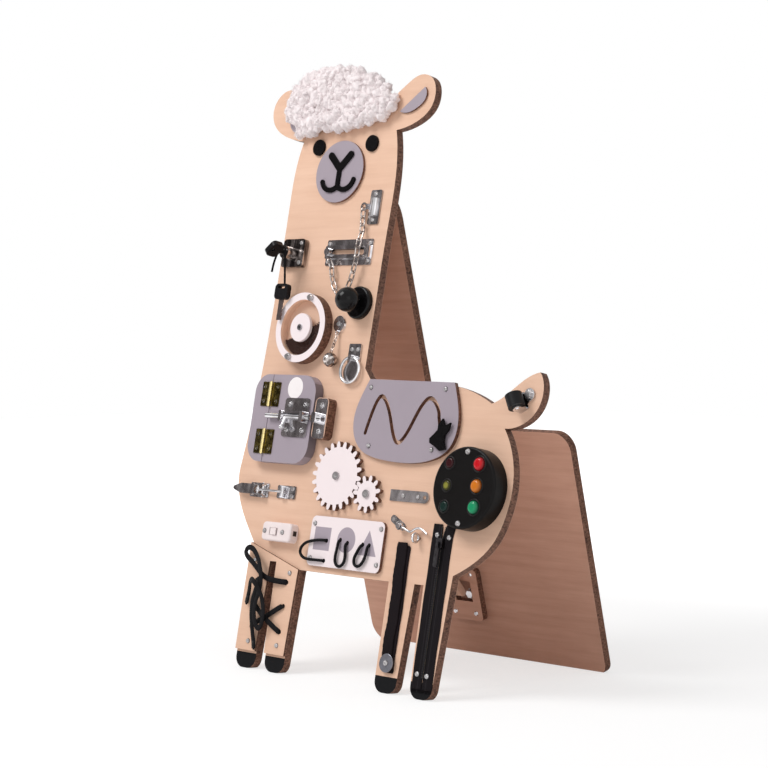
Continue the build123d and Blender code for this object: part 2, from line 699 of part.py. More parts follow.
def knuckles(low, high, first):
    """Every other knuckle of a hinge barrel, with a clear bore for the pin."""
    step = (high - low) / 5
    for i in range(first, 5, 2):
        bar_v(door_split, low + i * step + 0.15, low + (i + 1) * step - 0.15, pin_w, 2.4)


with BuildPart() as hinge_fixed_leaves:
    for low, high in hinge_bands:
        block(door_split - hinge_half, low, door_split, high, door_thickness, door_thickness + hinge_plate)
        step = (high - low) / 5
        for i in (1, 3):
            block(
                door_split - 2.9, low + i * step - 0.15, door_split + 1, low + (i + 1) * step + 0.15,
                door_thickness, door_thickness + 5, mode=Mode.SUBTRACT,
            )
        knuckles(low, high, 0)
        bar_v(door_split, low - 0.6, high + 0.6, pin_w, 1.2)
    drill(post_screws, door_thickness, door_thickness + hinge_plate)
    screws(post_screws, door_thickness + hinge_plate, 2.8)
hinge_fixed_leaves.part.label = "hinge_fixed_leaves"
export_step(hinge_fixed_leaves.part, "parts/hinge_fixed_leaves.step")

with BuildPart() as hinge_door_leaves:
    for low, high in hinge_bands:
        block(door_split, low, door_split + hinge_half, high, door_thickness, door_thickness + hinge_plate)
        step = (high - low) / 5
        for i in (0, 2, 4):
            block(
                door_split - 1, low + i * step - 0.15, door_split + 2.9, low + (i + 1) * step + 0.15,
                door_thickness, door_thickness + 5, mode=Mode.SUBTRACT,
            )
        knuckles(low, high, 1)
        bar_v(door_split, low, high, pin_w, 1.2 + turning_gap, mode=Mode.SUBTRACT)
    drill(leaf_screws, door_thickness, door_thickness + hinge_plate)
    screws(leaf_screws, door_thickness + hinge_plate, 2.8)
hinge_door_leaves.part.label = "hinge_door_leaves"
export_step(hinge_door_leaves.part, "parts/hinge_door_leaves.step")

bolt_v = 345.5
bolt_w = door_thickness + 6.0
bolt_radius = 3.5
bolt_left = -280.0
bolt_rest = -192.5
bolt_travel = 22.0
handle_u = -240.0
with BuildPart() as bolt_plate:
    block(-250, 318, -200, 372, door_thickness, door_thickness + 1.6, 5)
    for left, right in ((-250, -244.6), (-209, -202)):
        block(left, 338, right, 353, door_thickness + 1.6, bolt_w + 5.5, 2)
    block(-246, 349.6, -208, 352, door_thickness + 1.6, bolt_w + 4)
    bar_u(-251, -199, bolt_v, bolt_w, bolt_radius + turning_gap * 2, mode=Mode.SUBTRACT)
    drill(bolt_screws, door_thickness, door_thickness + 1.6)
    screws(bolt_screws, door_thickness + 1.6, 4.2)
bolt_plate.part.label = "bolt_plate"
export_step(bolt_plate.part, "parts/bolt_plate.step")

with BuildPart() as bolt_rod:
    bar_u(bolt_left, bolt_rest, bolt_v, bolt_w, bolt_radius)
    handle_line = out_w * 0.35 - along_v
    with BuildSketch(Plane(origin=at(handle_u, bolt_v, bolt_w), x_dir=(1, 0, 0), z_dir=handle_line)):
        Circle(2.2)
    extrude(amount=17)
    with Locations(Plane(origin=at(handle_u, bolt_v - 15.5, bolt_w + 5.4))):
        Sphere(3.8)
bolt_rod.part.label = "bolt_rod"
export_step(bolt_rod.part, "parts/bolt_rod.step")

with BuildPart() as bolt_keeper:
    block(-188, 318, -165, 373, door_thickness, door_thickness + 1.6, 5)
    block(-184, 338.5, -176, 352.5, door_thickness + 1.6, bolt_w + 5.5, 2)
    bar_u(-189, -164, bolt_v, bolt_w, bolt_radius + 0.4, mode=Mode.SUBTRACT)
    drill(keeper_screws, door_thickness, door_thickness + 1.6)
    screws(keeper_screws, door_thickness + 1.6, 4.2)
bolt_keeper.part.label = "bolt_keeper"
export_step(bolt_keeper.part, "parts/bolt_keeper.step")

# ---- maze plate with its wavy slot, and the rabbit that slides in it ----
maze_outline = [
    (-102, 403), (-114, 379), (-122, 349), (-116, 324), (-99, 307), (-74, 299), (-34, 295), (6, 296),
    (36, 303), (56, 315), (66, 334), (67, 356), (61, 380), (52, 402),
]
slot_wave = [
    (-97, 331), (-88, 362), (-75, 380.5), (-62, 368), (-48, 338), (-34, 320.5), (-20, 334), (-3, 366),
    (13, 380.5), (27, 371), (33, 357),
]
rabbit_pin = (40.4, 334.0)
slot_end = (43.0, 325.0)
rabbit_outline = [
    (45.2, 354.5), (49.6, 346), (51.4, 345.6), (59.5, 349.6), (57.4, 339.6), (51.6, 333), (51.6, 324.5),
    (56.4, 315.2), (46.1, 312.6), (38, 317.6), (27.4, 322.2), (26.4, 328), (33.6, 334.4), (38.6, 339.6),
    (38.6, 346), (41.4, 349.8),
]
with BuildPart() as maze_plate:
    with BuildSketch(face):
        with BuildLine():
            Spline(*maze_outline)
            Line(maze_outline[-1], maze_outline[0])
        make_face()
        with BuildLine():
            Spline(*slot_wave)
            Line(slot_wave[-1], slot_end)
        trace(line_width=maze_slot, mode=Mode.SUBTRACT)
        with Locations(slot_wave[0], slot_wave[-1], slot_end):
            Circle(maze_slot / 2, mode=Mode.SUBTRACT)
    extrude(amount=maze_thickness)
    drill(maze_screws, 0, maze_thickness)
maze_plate.part.label = "maze_plate"
export_step(maze_plate.part, "parts/maze_plate.step")

with BuildPart() as rabbit_slider:
    with BuildSketch(face.offset(maze_thickness + running_gap + 2)):
        with BuildLine():
            Polyline(*rabbit_outline, close=True)
        make_face()
    extrude(amount=3)
    peg([rabbit_pin], running_gap, maze_thickness + running_gap + 2, maze_slot / 2 - running_gap)
rabbit_slider.part.label = "rabbit_slider"
export_step(rabbit_slider.part, "parts/rabbit_slider.step")


# ---- two meshing gears on shoulder screws ----
def gear(centre, teeth, turn, bore):
    """A spur gear with involute flanks; turn is where its first tooth points."""
    pitch_radius = gear_module * teeth / 2
    base_radius = pitch_radius * cos(radians(pressure_angle))
    tip_radius = pitch_radius + tooth_above * gear_module
    root_radius = pitch_radius - tooth_below * gear_module
    spread = tan(radians(pressure_angle)) - radians(pressure_angle)
    half = pi / 2 / teeth - gear_backlash / 4 / pitch_radius + spread
    flank_points = []
    start_radius = max(base_radius, root_radius) + 0.01
    for i in range(4):
        radius = start_radius + (tip_radius - start_radius) * i / 3
        slant = (radius**2 / base_radius**2 - 1) ** 0.5
        angle = half - (slant - atan2(slant, 1))
        flank_points.append((radius * cos(angle), radius * sin(angle)))
    lower = [(x, -y) for x, y in flank_points]
    foot = (root_radius - 1) / start_radius
    upper_root = (flank_points[0][0] * foot, flank_points[0][1] * foot)
    lower_root = (upper_root[0], -upper_root[1])
    with BuildSketch(mode=Mode.PRIVATE) as tooth:
        with BuildLine():
            Line(upper_root, flank_points[0])
            Spline(*flank_points)
            ThreePointArc(flank_points[-1], (tip_radius, 0), lower[-1])
            Spline(*lower[::-1])
            Line(lower[0], lower_root)
            Line(lower_root, upper_root)
        make_face()
    with BuildSketch(face.offset(gear_lift)) as profile:
        with Locations(centre):
            Circle(root_radius)
            with PolarLocations(0, teeth, start_angle=turn):
                add(tooth.sketch)
            Circle(bore, mode=Mode.SUBTRACT)
    extrude(profile.sketch, amount=gear_thickness)


gear_pin = 3.0
with BuildPart() as large_gear:
    gear(large_gear_centre, large_teeth, gear_direction, gear_pin + turning_gap)
large_gear.part.label = "large_gear"
export_step(large_gear.part, "parts/large_gear.step")

with BuildPart() as small_gear:
    gear(small_gear_centre, small_teeth, gear_direction + 180 + 180 / small_teeth, gear_pin + turning_gap)
small_gear.part.label = "small_gear"
export_step(small_gear.part, "parts/small_gear.step")

# ---- draw latch: base, lever, pull rod and catch ----
latch_pivot_u = -282.0
latch_pivot_w = 5.5
rod_pivot_u = -291.0
rod_pivot_w = 7.0
rod_end_u = -240.0
cheek = 7.0
with BuildPart() as latch_plates:
    block(-312, latch_v - 10, -274, latch_v + 10, 0, 1.5, 2)
    for side in (-1, 1):
        inner_side = latch_v + side * (cheek + 0.5)
        low, high = sorted((inner_side, inner_side + side * 1.5))
        block(latch_pivot_u - 5, low, latch_pivot_u + 5, high, 1.5, latch_pivot_w + 4)
    bar_v(latch_pivot_u, latch_v - 10.5, latch_v + 10.5, latch_pivot_w, 1.5)
    block(-256, latch_v - 9, -219, latch_v + 9, 0, 1.8, 2)
    for side in (-1, 1):
        low, high = sorted((latch_v + side * 2.6, latch_v + side * 8))
        block(-246, low, -243, high, 1.8, 9)
    drill(latch_screws, 0, 1.8)
latch_plates.part.label = "latch_plates"
export_step(latch_plates.part, "parts/latch_plates.step")

with BuildPart() as latch_lever:
    with BuildSketch(face.offset(9.6)):
        with BuildLine():
            Polyline(
                (-295.6, latch_v - cheek), (-295.6, latch_v + cheek), (-322, latch_v + cheek),
                (-336, latch_v + 2.5), (-338, latch_v), (-336, latch_v - 2.5), (-322, latch_v - cheek),
                close=True,
            )
        make_face()
    extrude(amount=1.6)
    for side in (-1, 1):
        low, high = sorted((latch_v + side * cheek, latch_v + side * (cheek - 1.6)))
        block(-300, low, latch_pivot_u + 2.6, high, 3.0, 10.4)
    low, high = latch_v - cheek - 1, latch_v + cheek + 1
    bar_v(latch_pivot_u, low, high, latch_pivot_w, 1.5 + turning_gap, mode=Mode.SUBTRACT)
    bar_v(rod_pivot_u, latch_v - cheek - 0.2, latch_v + cheek + 0.2, rod_pivot_w, 1.3)
latch_lever.part.label = "latch_lever"
export_step(latch_lever.part, "parts/latch_lever.step")

with BuildPart() as latch_loop:
    bar_v(rod_pivot_u, latch_v - 3, latch_v + 3, rod_pivot_w, 2.6)
    bar_u(rod_pivot_u, rod_end_u, latch_v, rod_pivot_w, 1.8)
    bar_v(rod_end_u, latch_v - 7, latch_v + 7, rod_pivot_w, 1.8)
    bar_v(rod_pivot_u, latch_v - 4, latch_v + 4, rod_pivot_w, 1.3 + turning_gap, mode=Mode.SUBTRACT)
    bar_v(latch_pivot_u, latch_v - 3, latch_v + 3, latch_pivot_w, 1.5 + 2 * running_gap, mode=Mode.SUBTRACT)
latch_loop.part.label = "latch_loop"
export_step(latch_loop.part, "parts/latch_loop.step")

# ---- rocker switch in its housing ----
switch_high = 14.0
rocker_u = -238.5
with BuildPart() as switch_base:
    block(*switch_box, 0, switch_high, 6)
    fillet(switch_base.faces().sort_by(Axis(face.origin, out_w))[-1].edges(), 3)
    block(rocker_u - 8, 183, rocker_u + 8, 193, switch_high - 7, switch_high, mode=Mode.SUBTRACT)
    bar_v(rocker_u, 181.5, 194.5, switch_high - 2, 1.0 + turning_gap, mode=Mode.SUBTRACT)
    drill(switch_screws, 0, switch_high)
switch_base.part.label = "switch_base"
export_step(switch_base.part, "parts/switch_base.step")

with BuildPart() as switch_rocker:
    profile_start = at(rocker_u, 183 + running_gap, switch_high)
    with BuildSketch(Plane(origin=profile_start, x_dir=(1, 0, 0), z_dir=along_v)):
        with BuildLine():
            Polyline((-7.2, 0.6), (0, -1.4), (6.8, -2.4), (5.5, 3.4), (-6.2, 3.4), close=True)
        make_face()
    extrude(amount=10 - 2 * running_gap)
    bar_v(rocker_u, 181.6, 194.4, switch_high - 2, 1.0)
switch_rocker.part.label = "switch_rocker"
export_step(switch_rocker.part, "parts/switch_rocker.step")

# ---- lacing plate, and the lace threaded through it and the board ----
lacing_box = (-174.0, 149.0, -36.0, 216.0)
with BuildPart() as lacing_plate:
    block(*lacing_box, 0, lacing_thickness, 8)
    drill(lacing_screws, 0, lacing_thickness)
    drill(lace_mouths, 0, lacing_thickness, lace_hole_radius)
lacing_plate.part.label = "lacing_plate"
export_step(lacing_plate.part, "parts/lacing_plate.step")

lacing_route = [
    (-131, 157, -14.8), (-138.4, 157, -14.8), (-141, 157, -12.4), (-141, 157, 5.2), (-144, 157, 8.2),
    (-153, 156.8, 8.6), (-165, 156.5, 9.3), (-177, 157.6, 9.3), (-185, 163.5, 9), (-185, 171.5, 8.6),
    (-177, 178.5, 8.4), (-165, 182, 8.2), (-153, 183.6, 8.2), (-144, 184, 8.2), (-141, 184, 5.2),
    (-141, 184, -12.4), (-138.4, 184.3, -14.8), (-128, 185.5, -15), (-117.6, 186.7, -14.8),
    (-115, 187, -12.4), (-115, 187, 5.2), (-115, 184, 8.2), (-115.3, 175.5, 8.4), (-117, 166, 8.2),
    (-116.5, 157.5, 8.2), (-111, 151.8, 8.2), (-104, 152.2, 8.2), (-98.8, 158, 8.2), (-98.3, 166.5, 8.2),
    (-100, 174.5, 8.4), (-101, 181, 8.2), (-101, 184, 5.2), (-101, 184, -12.4), (-98.4, 184, -14.8),
    (-86.5, 184, -15), (-74.6, 184, -14.8), (-72, 184, -12.4), (-72, 184, 5.2), (-73, 181.2, 8.2),
    (-77, 173.5, 8.4), (-81.5, 165, 8.2), (-80.5, 157.5, 8.2), (-74, 154.2, 8.2), (-67, 157.5, 8.2),
    (-62.3, 165, 8.2), (-60.2, 173, 8.4), (-60, 181, 8.2), (-60, 184, 5.2), (-60, 184, -12.4),
    (-57.4, 184, -14.8), (-50, 184, -14.8),
]
with BuildPart() as lacing_lace:
    cord_tube("lacing_lace", [at(*place) for place in lacing_route], lace_diameter)
lacing_lace.part.label = "lacing_lace"
export_step(lacing_lace.part, "parts/lacing_lace.step")

# ---- shoelace: tied in a bow in front of the leg panel, crossed below it, threaded through the legs ----
leg_lace_diameter = 4.0
leg_lace_route = [
    (-277.5, 87, 8), (-275.6, 96.5, 8.6), (-272.8, 106, 10.5), (-269, 115, 14.5), (-261.5, 120.5, 20),
    (-252, 118, 24), (-243, 109.5, 22), (-237, 97.5, 18), (-233, 84.5, 16.4), (-231.5, 71, 16.2),
    (-233.5, 59, 15.2), (-240, 54.5, 14.8), (-247, 63, 15.4), (-251, 76, 16.2), (-251, 90, 16.2),
    (-246.5, 104, 16.6), (-243.5, 118, 17.6), (-247, 132, 18.4), (-254, 144.5, 17.2), (-265, 156, 15),
    (-277, 163, 13.5), (-286.5, 162.5, 13), (-289.5, 155.5, 13), (-283, 149.5, 13.5), (-272, 144, 14),
    (-260, 136, 14), (-248, 127, 12.5), (-236, 123, 11), (-222, 122.2, 9.5), (-209.8, 122, 7),
    (-207, 122, 4.4), (-207, 122, -12.4), (-207, 119.4, -14.8), (-207, 106, -15), (-207, 92.6, -14.8),
    (-207, 90, -12.4), (-207, 90, 4.4), (-209.8, 88.4, 6.8), (-222, 81, 7), (-236, 72.5, 7),
    (-250, 65, 7), (-263.2, 58.6, 6.8), (-266, 57, 4.4), (-266, 57, -12.4), (-263.4, 56.9, -14.8),
    (-250, 56.4, -15), (-236, 56, -15), (-223, 55.6, -15), (-209.6, 55.1, -14.8), (-207, 55, -12.4),
    (-207, 55, 4.4), (-209.8, 56.8, 7), (-222, 64.4, 10.4), (-236, 72.5, 11.8), (-250, 80.6, 10.4),
    (-263.2, 88.3, 7), (-266, 90, 4.4), (-266, 90, -12.4), (-266, 92.6, -14.8), (-266, 106, -15),
    (-266, 119.4, -14.8), (-266, 122, -12.4), (-266, 122, 4.4), (-263.6, 121.6, 7.2), (-258.5, 116, 10.4),
    (-258, 106, 13), (-258.5, 94, 14.6), (-258.5, 82, 14.6), (-257.5, 70, 13.5), (-256.5, 58, 11),
    (-255, 46, 8.4), (-252.5, 36, 7), (-251, 28, 6.6),
]
with BuildPart() as leg_lace:
    cord_tube("leg_lace", [at(*place) for place in leg_lace_route], leg_lace_diameter)
leg_lace.part.label = "leg_lace"
export_step(leg_lace.part, "parts/leg_lace.step")

# ---- hasp strap, hook and its screw eye ----
strap_half = 7.5
hook_wire = 1.6
hook_w = 7.0
hook_stud = 2.0
with BuildPart() as hasp_plates:
    with BuildSketch(face):
        with Locations((-7, 252.5)):
            Rectangle(62, 2 * strap_half)
        with Locations((24, 252.5)):
            Circle(strap_half)
            Circle(2.6, mode=Mode.SUBTRACT)
    extrude(amount=2)
    drill(strap_screws, 0, 2)
    with BuildSketch(face):
        stroke((-26, 222), hook_pivot, 10)
    extrude(amount=1.5)
    drill(hook_screws, 0, 1.5)
    peg([hook_pivot], 1.5, hook_w + 3, hook_stud)
    peg([hook_pivot], hook_w + 3, hook_w + 4.2, 3.4)
    peg([screw_eye], -screw_bite, 3, hook_wire)
    with Locations(Plane(origin=at(*screw_eye, 8), x_dir=along_v, z_dir=(1, 0, 0))):
        Torus(5.6, hook_wire)
hasp_plates.part.label = "hasp_and_hook_plates"
export_step(hasp_plates.part, "parts/hasp_and_hook_plates.step")

with BuildPart() as hook:
    with BuildSketch(face.offset(hook_w - hook_wire)):
        with Locations(hook_pivot):
            Circle(5)
            Circle(hook_stud + turning_gap, mode=Mode.SUBTRACT)
    extrude(amount=2 * hook_wire)
    hook_route = [(-3.4, 211.6), (5, 209), (13, 207.4), (19, 210.6), (27, 212.6), (34, 210.8), (41, 206.8)]
    with BuildLine(face.offset(hook_w)) as hook_line:
        Spline(*hook_route)
    hook_path = hook_line.edges()[0]
    with BuildSketch(Plane(origin=hook_path @ 0, z_dir=hook_path % 0)):
        Circle(hook_wire)
    sweep(path=hook_line.wires()[0])
    with Locations(hook_path @ 1):
        Sphere(hook_wire)
hook.part.label = "hook"
export_step(hook.part, "parts/hook.step")

# ---- light box: housing, circuit with lamps, cell holder, three push buttons ----
circuit_w = 6.4
circuit_thickness = 1.6
button_radius = 8.5
button_rise = 5.0
button_travel = 2.5
lens_radius = 6.5
light_floor = light_height - light_wall
with BuildPart() as light_housing:
    peg([light_centre], 0, light_height, light_radius)
    fillet(light_housing.faces().sort_by(Axis(face.origin, out_w))[-1].edges(), 3)
    peg([light_centre], 0, light_floor, light_radius - light_wall, mode=Mode.SUBTRACT)
    peg(light_screws, 0, light_floor + 1, 4)
    drill(light_screws, 0, light_height)
    drill(light_buttons, light_floor, light_height, button_radius + running_gap)
    drill(light_lenses, light_floor, light_height, lens_radius + running_gap)
light_housing.part.label = "light_housing"
export_step(light_housing.part, "parts/light_housing.step")

with BuildPart() as light_board:
    peg([light_centre], circuit_w, circuit_w + circuit_thickness, 39.5)
    posts = [(78.5, 267.5), (110, 293), (110, 242)]
    peg(posts, 0, circuit_w, 2.5)
    switch_top = circuit_w + circuit_thickness + 3.2
    for place in light_buttons:
        left, low = place[0] - 3, place[1] - 3
        block(left - 2, low, left + 4, low + 6, circuit_w + circuit_thickness, switch_top)
    peg(light_lenses, circuit_w + 0.2, light_floor - 2, 2.5)
    peg(light_lenses, light_floor - 2, light_height + 2.4, lens_radius)
    fillet(light_board.faces().sort_by(Axis(face.origin, out_w))[-3:].edges(), 2.2)
light_board.part.label = "light_board"
export_step(light_board.part, "parts/light_board.step")

with BuildPart() as battery_pack:
    peg([light_centre], 0, 2, 12.5)
    peg([light_centre], 2, 5.2, 10)
battery_pack.part.label = "battery_pack"
export_step(battery_pack.part, "parts/battery_pack.step")


def push_button(place):
    """A domed cap with a retaining flange and a stem over its switch."""
    peg([place], light_floor - 3.4, light_floor - 1.2, button_radius + 1.4)
    cap = peg([place], light_floor - 1.2, light_height + button_rise, button_radius)
    fillet(cap.faces().sort_by(Axis(face.origin, out_w))[-1].edges(), button_rise - 0.2)
    peg([(place[0] - 2, place[1])], switch_top + 0.2 + button_travel, light_floor - 3.4, 2.5)


with BuildPart() as red_button:
    push_button(light_buttons[0])
red_button.part.label = "red_button"
export_step(red_button.part, "parts/red_button.step")

with BuildPart() as amber_button:
    push_button(light_buttons[1])
amber_button.part.label = "amber_button"
export_step(amber_button.part, "parts/amber_button.step")

with BuildPart() as green_button:
    push_button(light_buttons[2])
green_button.part.label = "green_button"
export_step(green_button.part, "parts/green_button.step")

# ---- hook-and-loop strap on the third leg, with its washer ----
with BuildPart() as velcro_strap:
    block(-8, 26, 12, 189, 0, 2, 1)
    block(-11, 30, 9, 193, 2, 4.4, 1)
    peg([velcro_rivet], 4.4, 5.6, 12.0)
    drill([velcro_rivet], 0, 5.6)
velcro_strap.part.label = "velcro_strap"
export_step(velcro_strap.part, "parts/velcro_strap.step")

# ---- zip fastener on the fourth leg ----
tape = 1.2
teeth_high = 2.8
zip_travel = 148.0
with BuildPart() as zipper_tapes:
    with BuildSketch(face):
        with BuildLine():
            Polyline(
                (46, 12), (81.5, 12), (82, 206), (85, 219.5), (69, 221), (65, 206), (63, 206), (61.5, 221),
                (46, 221), close=True,
            )
        make_face()
    extrude(amount=tape)
    for row in range(58):
        v = 26 + 3 * row
        side = 61.8 if row % 2 else 63.6
        block(side, v, side + 2.6, v + 2.2, tape, teeth_high)
    drill(zipper_rivets, 0, tape)
zipper_tapes.part.label = "zipper_tapes"
export_step(zipper_tapes.part, "parts/zipper_tapes.step")

with BuildPart() as zipper_slider:
    block(58.6, 190, 69.4, 203, tape + running_gap, 6.4, 2)
    block(61.2, 188, 66.8, 205, tape, teeth_high + running_gap, mode=Mode.SUBTRACT)
    block(62, 189, 66, 199, 6.4, 9.4, 1.5)
    bar_u(61, 67, 195, 7.9, 0.8, mode=Mode.SUBTRACT)
    block(60.6, 166, 67.4, 192, 7, 8.6, 3)
zipper_slider.part.label = "zipper_slider"
export_step(zipper_slider.part, "parts/zipper_slider.step")

# ---- small caster wheel on the tail ----
caster_centre = (166.0, 380.0)
caster_w = 14.5
caster_radius = 11.0
caster_half = 9.0
caster_pin = 2.5
caster_side = Vector(0.5, -0.866, 0)
caster_turn = degrees(atan2(caster_side.Y, caster_side.X))
across = (Vector(1, 0, 0) * caster_side.X + along_v * caster_side.Y).normalized()
caster_axis = Plane(origin=at(*caster_centre, caster_w), x_dir=out_w, z_dir=across)
with BuildPart() as caster_bracket:
    with BuildSketch(face):
        with Locations(caster_centre):
            with Locations(Rotation(0, 0, caster_turn)):
                RectangleRounded(2 * (caster_half + 2.6), 16, 2)
        stroke(caster_centre, caster_bolt, 15)
    extrude(amount=2)
    drill([caster_bolt], 0, 2, 2.05)
    for low in (-caster_half - 2.6, caster_half + 0.6):
        with BuildSketch(caster_axis.offset(low)):
            stroke((1 - caster_w, 0), (0, 0), 12)
        extrude(amount=2)
    peg([caster_centre], -20, 0, 40, mode=Mode.SUBTRACT)
    with BuildSketch(caster_axis.offset(-caster_half - 3.4)):
        Circle(caster_pin)
    extrude(amount=2 * caster_half + 6.8)
caster_bracket.part.label = "caster_bracket"
export_step(caster_bracket.part, "parts/caster_bracket.step")

with BuildPart() as caster_roller:
    with BuildSketch(caster_axis.offset(-caster_half)):
        Circle(caster_radius)
        Circle(caster_pin + turning_gap, mode=Mode.SUBTRACT)
    extrude(amount=2 * caster_half)
caster_roller.part.label = "caster_roller"
export_step(caster_roller.part, "parts/caster_roller.step")

# ---- screws and bolts that hold everything to the front board ----
with BuildPart() as board_screws:
    screws(leg_panel_screws, leg_panel_thickness, bite=leg_panel_thickness + 7)
    screws(maze_screws, maze_thickness, bite=maze_thickness + 7)
    screws(lacing_screws, lacing_thickness, bite=lacing_thickness + 7)
    screws(lock_screws, lock_height, bite=lock_height + 7)
    screws(track_screws, track_plate)
    screws(anchor_screws, 2)
    screws([bell_centre], 3)
    screws(pull_screws, pull_plate_thickness)
    screws(latch_screws[:2], 1.5)
    screws(latch_screws[2:], 1.8)
    screws(switch_screws, switch_high, bite=switch_high + 7)
    screws(strap_screws, 2)
    screws(hook_screws, 1.5, 2.8)
    screws(light_screws, light_height, 4, bite=light_height + 7)
    screws([velcro_rivet], 5.6, 4, bite=12)
    screws(zipper_rivets, tape, 3.4)
    for place in spinner_bolts:
        peg([place], -7, ring_high, screw_radius)
        peg([place], ring_high, ring_high + 3, 4.6)
        peg([place], ring_high + 3, ring_high + 5.5, 3.2)
    for place in (large_gear_centre, small_gear_centre):
        peg([place], -7, 0, 2.0)
        peg([place], 0, gear_lift + gear_thickness + running_gap, gear_pin)
        peg([place], gear_lift + gear_thickness + running_gap, gear_lift + gear_thickness + 2.6, 5.4)
    peg([caster_bolt], -7, 2, 2.0)
    with BuildSketch(face.offset(2)):
        with Locations(caster_bolt):
            RegularPolygon(5.6, 6)
    extrude(amount=3.6)
board_screws.part.label = "board_screws"
export_step(board_screws.part, "parts/board_screws.step")

# ---- rear panel: the plywood leg of the stand ----
rear_outline = [
    (rear_sides[0], -rear_drop), (rear_sides[0], rear_hip), (rear_neck[0], rear_hip),
    (rear_neck[0], rear_top), (rear_neck[1], rear_top), (rear_neck[1], rear_hip),
    (rear_sides[1], rear_hip), (rear_sides[1], -rear_drop),
]
rounded = [
    (rear_outline[1], 22), (rear_outline[2], 17), (rear_outline[5], 35), (rear_outline[6], 26),
    (rear_outline[3], 12), (rear_outline[4], 56), (rear_outline[0], 28), (rear_outline[7], 15),
]
with BuildPart() as rear_panel:
    with BuildSketch(rear_face.offset(-board_thickness)) as rear_sketch:
        with BuildLine():
            Polyline(*rear_outline, close=True)
        make_face()
        for corner, radius in rounded:
            fillet(rear_sketch.vertices().sort_by_distance((*corner, 0))[0], radius)
    extrude(amount=board_thickness)
    drill(rear_leaf_places + rear_bracket_places + [bracket_bolt], -screw_bite, 0, plane=rear_face)
    split(bisect_by=Plane.XY, keep=Keep.TOP)
rear_panel.part.label = "rear_panel"
export_step(rear_panel.part, "parts/rear_panel.step")

# ---- stand hinges and the strut's clevis, screwed to the back of the front board ----
knuckle_radius = hinge_knuckle - running_gap
hinge_pin = 1.5
strut_pivot_w = -board_thickness - 9.0
with BuildPart() as stand_brackets:
    for left, right in stand_hinges:
        step = (right - left) / 5
        block(left, hinge_v - 26, right, hinge_v, -board_thickness - hinge_leaf, -board_thickness)
        for i in (1, 3):
            block(
                left + i * step - 0.15, hinge_v - 4.6, left + (i + 1) * step + 0.15, hinge_v + 1,
                -board_thickness - 2, -board_thickness, mode=Mode.SUBTRACT,
            )
        for i in (0, 2, 4):
            bar_u(left + i * step + 0.15, left + (i + 1) * step - 0.15, hinge_v, hinge_w, knuckle_radius)
        bar_u(left - 0.6, right + 0.6, hinge_v, hinge_w, hinge_pin)
    low, high = strut_pivot_v - 13, strut_pivot_v + 13
    block(strut_u - 26, low, strut_u + 26, high, -board_thickness - 3, -board_thickness, 4)
    for side in (-14.6, 10.6):
        with BuildSketch(Plane(origin=at(strut_u + side, strut_pivot_v, 0), x_dir=out_w, z_dir=(1, 0, 0))):
            stroke((-board_thickness - 1, 0), (strut_pivot_w, 0), 14)
        extrude(amount=4)
    block(strut_u - 30, low - 4, strut_u + 30, high + 4, -board_thickness, 10, mode=Mode.SUBTRACT)
    bar_u(strut_u - 16, strut_u + 16, strut_pivot_v, strut_pivot_w, strut_pin_radius)
    drill([(-u, v) for u, v in leaf_places], 0, hinge_leaf, plane=back_face)
    drill([(-u, v) for u, v in clevis_places], 0, 3, plane=back_face)
    screws([(-u, v) for u, v in leaf_places], hinge_leaf, plane=back_face)
    screws([(-u, v) for u, v in clevis_places], 3, plane=back_face, bite=10)
stand_brackets.part.label = "stand_brackets"
export_step(stand_brackets.part, "parts/stand_brackets.step")

with BuildPart() as stand_hinge_rear:
    for left, right in stand_hinges:
        step = (right - left) / 5
        block(left, rear_hinge_t - 26, right, rear_hinge_t, 0, hinge_leaf, plane=rear_face)
        for i in (0, 2, 4):
            block(
                left + i * step - 0.15, rear_hinge_t - 4.6, left + (i + 1) * step + 0.15, rear_hinge_t + 1,
                0, 2, mode=Mode.SUBTRACT, plane=rear_face,
            )
        for i in (1, 3):
            bar_u(left + i * step + 0.15, left + (i + 1) * step - 0.15, hinge_v, hinge_w, knuckle_radius)
        bar_u(left, right, hinge_v, hinge_w, hinge_pin + turning_gap, mode=Mode.SUBTRACT)
    drill(rear_leaf_places, 0, hinge_leaf, plane=rear_face)
    screws(rear_leaf_places, hinge_leaf, plane=rear_face)
    screws(rear_bracket_places, bracket_thickness, plane=rear_face, bite=bracket_thickness + 7)
    screws([bracket_bolt], 0, 7.4, plane=rear_face)
    with BuildSketch(rear_face.offset(screw_head_height)):
        with Locations(bracket_bolt):
            RegularPolygon(6.2, 6)
    extrude(amount=5)
stand_hinge_rear.part.label = "stand_hinge_rear"
export_step(stand_hinge_rear.part, "parts/stand_hinge_rear.step")

with BuildPart() as rear_bracket:
    block(-161, 54, -98, 130, 0, bracket_thickness, 6, plane=rear_face)
    block(-144, 82, -112, 112, 0, bracket_thickness, mode=Mode.SUBTRACT, plane=rear_face)
    drill(rear_bracket_places, 0, bracket_thickness, plane=rear_face)
rear_bracket.part.label = "rear_bracket"
export_step(rear_bracket.part, "parts/rear_bracket.step")

# ---- strut: a flat bar from the clevis toward the bracket ----
strut_seat_w = bracket_thickness + strut_thickness / 2 + strut_seat_gap
strut_top = at(strut_u - strut_width / 2, strut_pivot_v, strut_pivot_w)
strut_foot = rear_face.from_local_coords(Vector(strut_u - strut_width / 2, strut_seat_height, strut_seat_w))
strut_length = (strut_foot - strut_top).length
with BuildPart() as strut:
    with BuildSketch(Plane(origin=strut_top, x_dir=strut_foot - strut_top, z_dir=(1, 0, 0))):
        stroke((0, 0), (strut_length, 0), strut_thickness)
        Circle(strut_pin_radius + turning_gap, mode=Mode.SUBTRACT)
    extrude(amount=strut_width)
strut.part.label = "strut"
export_step(strut.part, "parts/strut.step")
print("strut length", round(strut_length, 2))
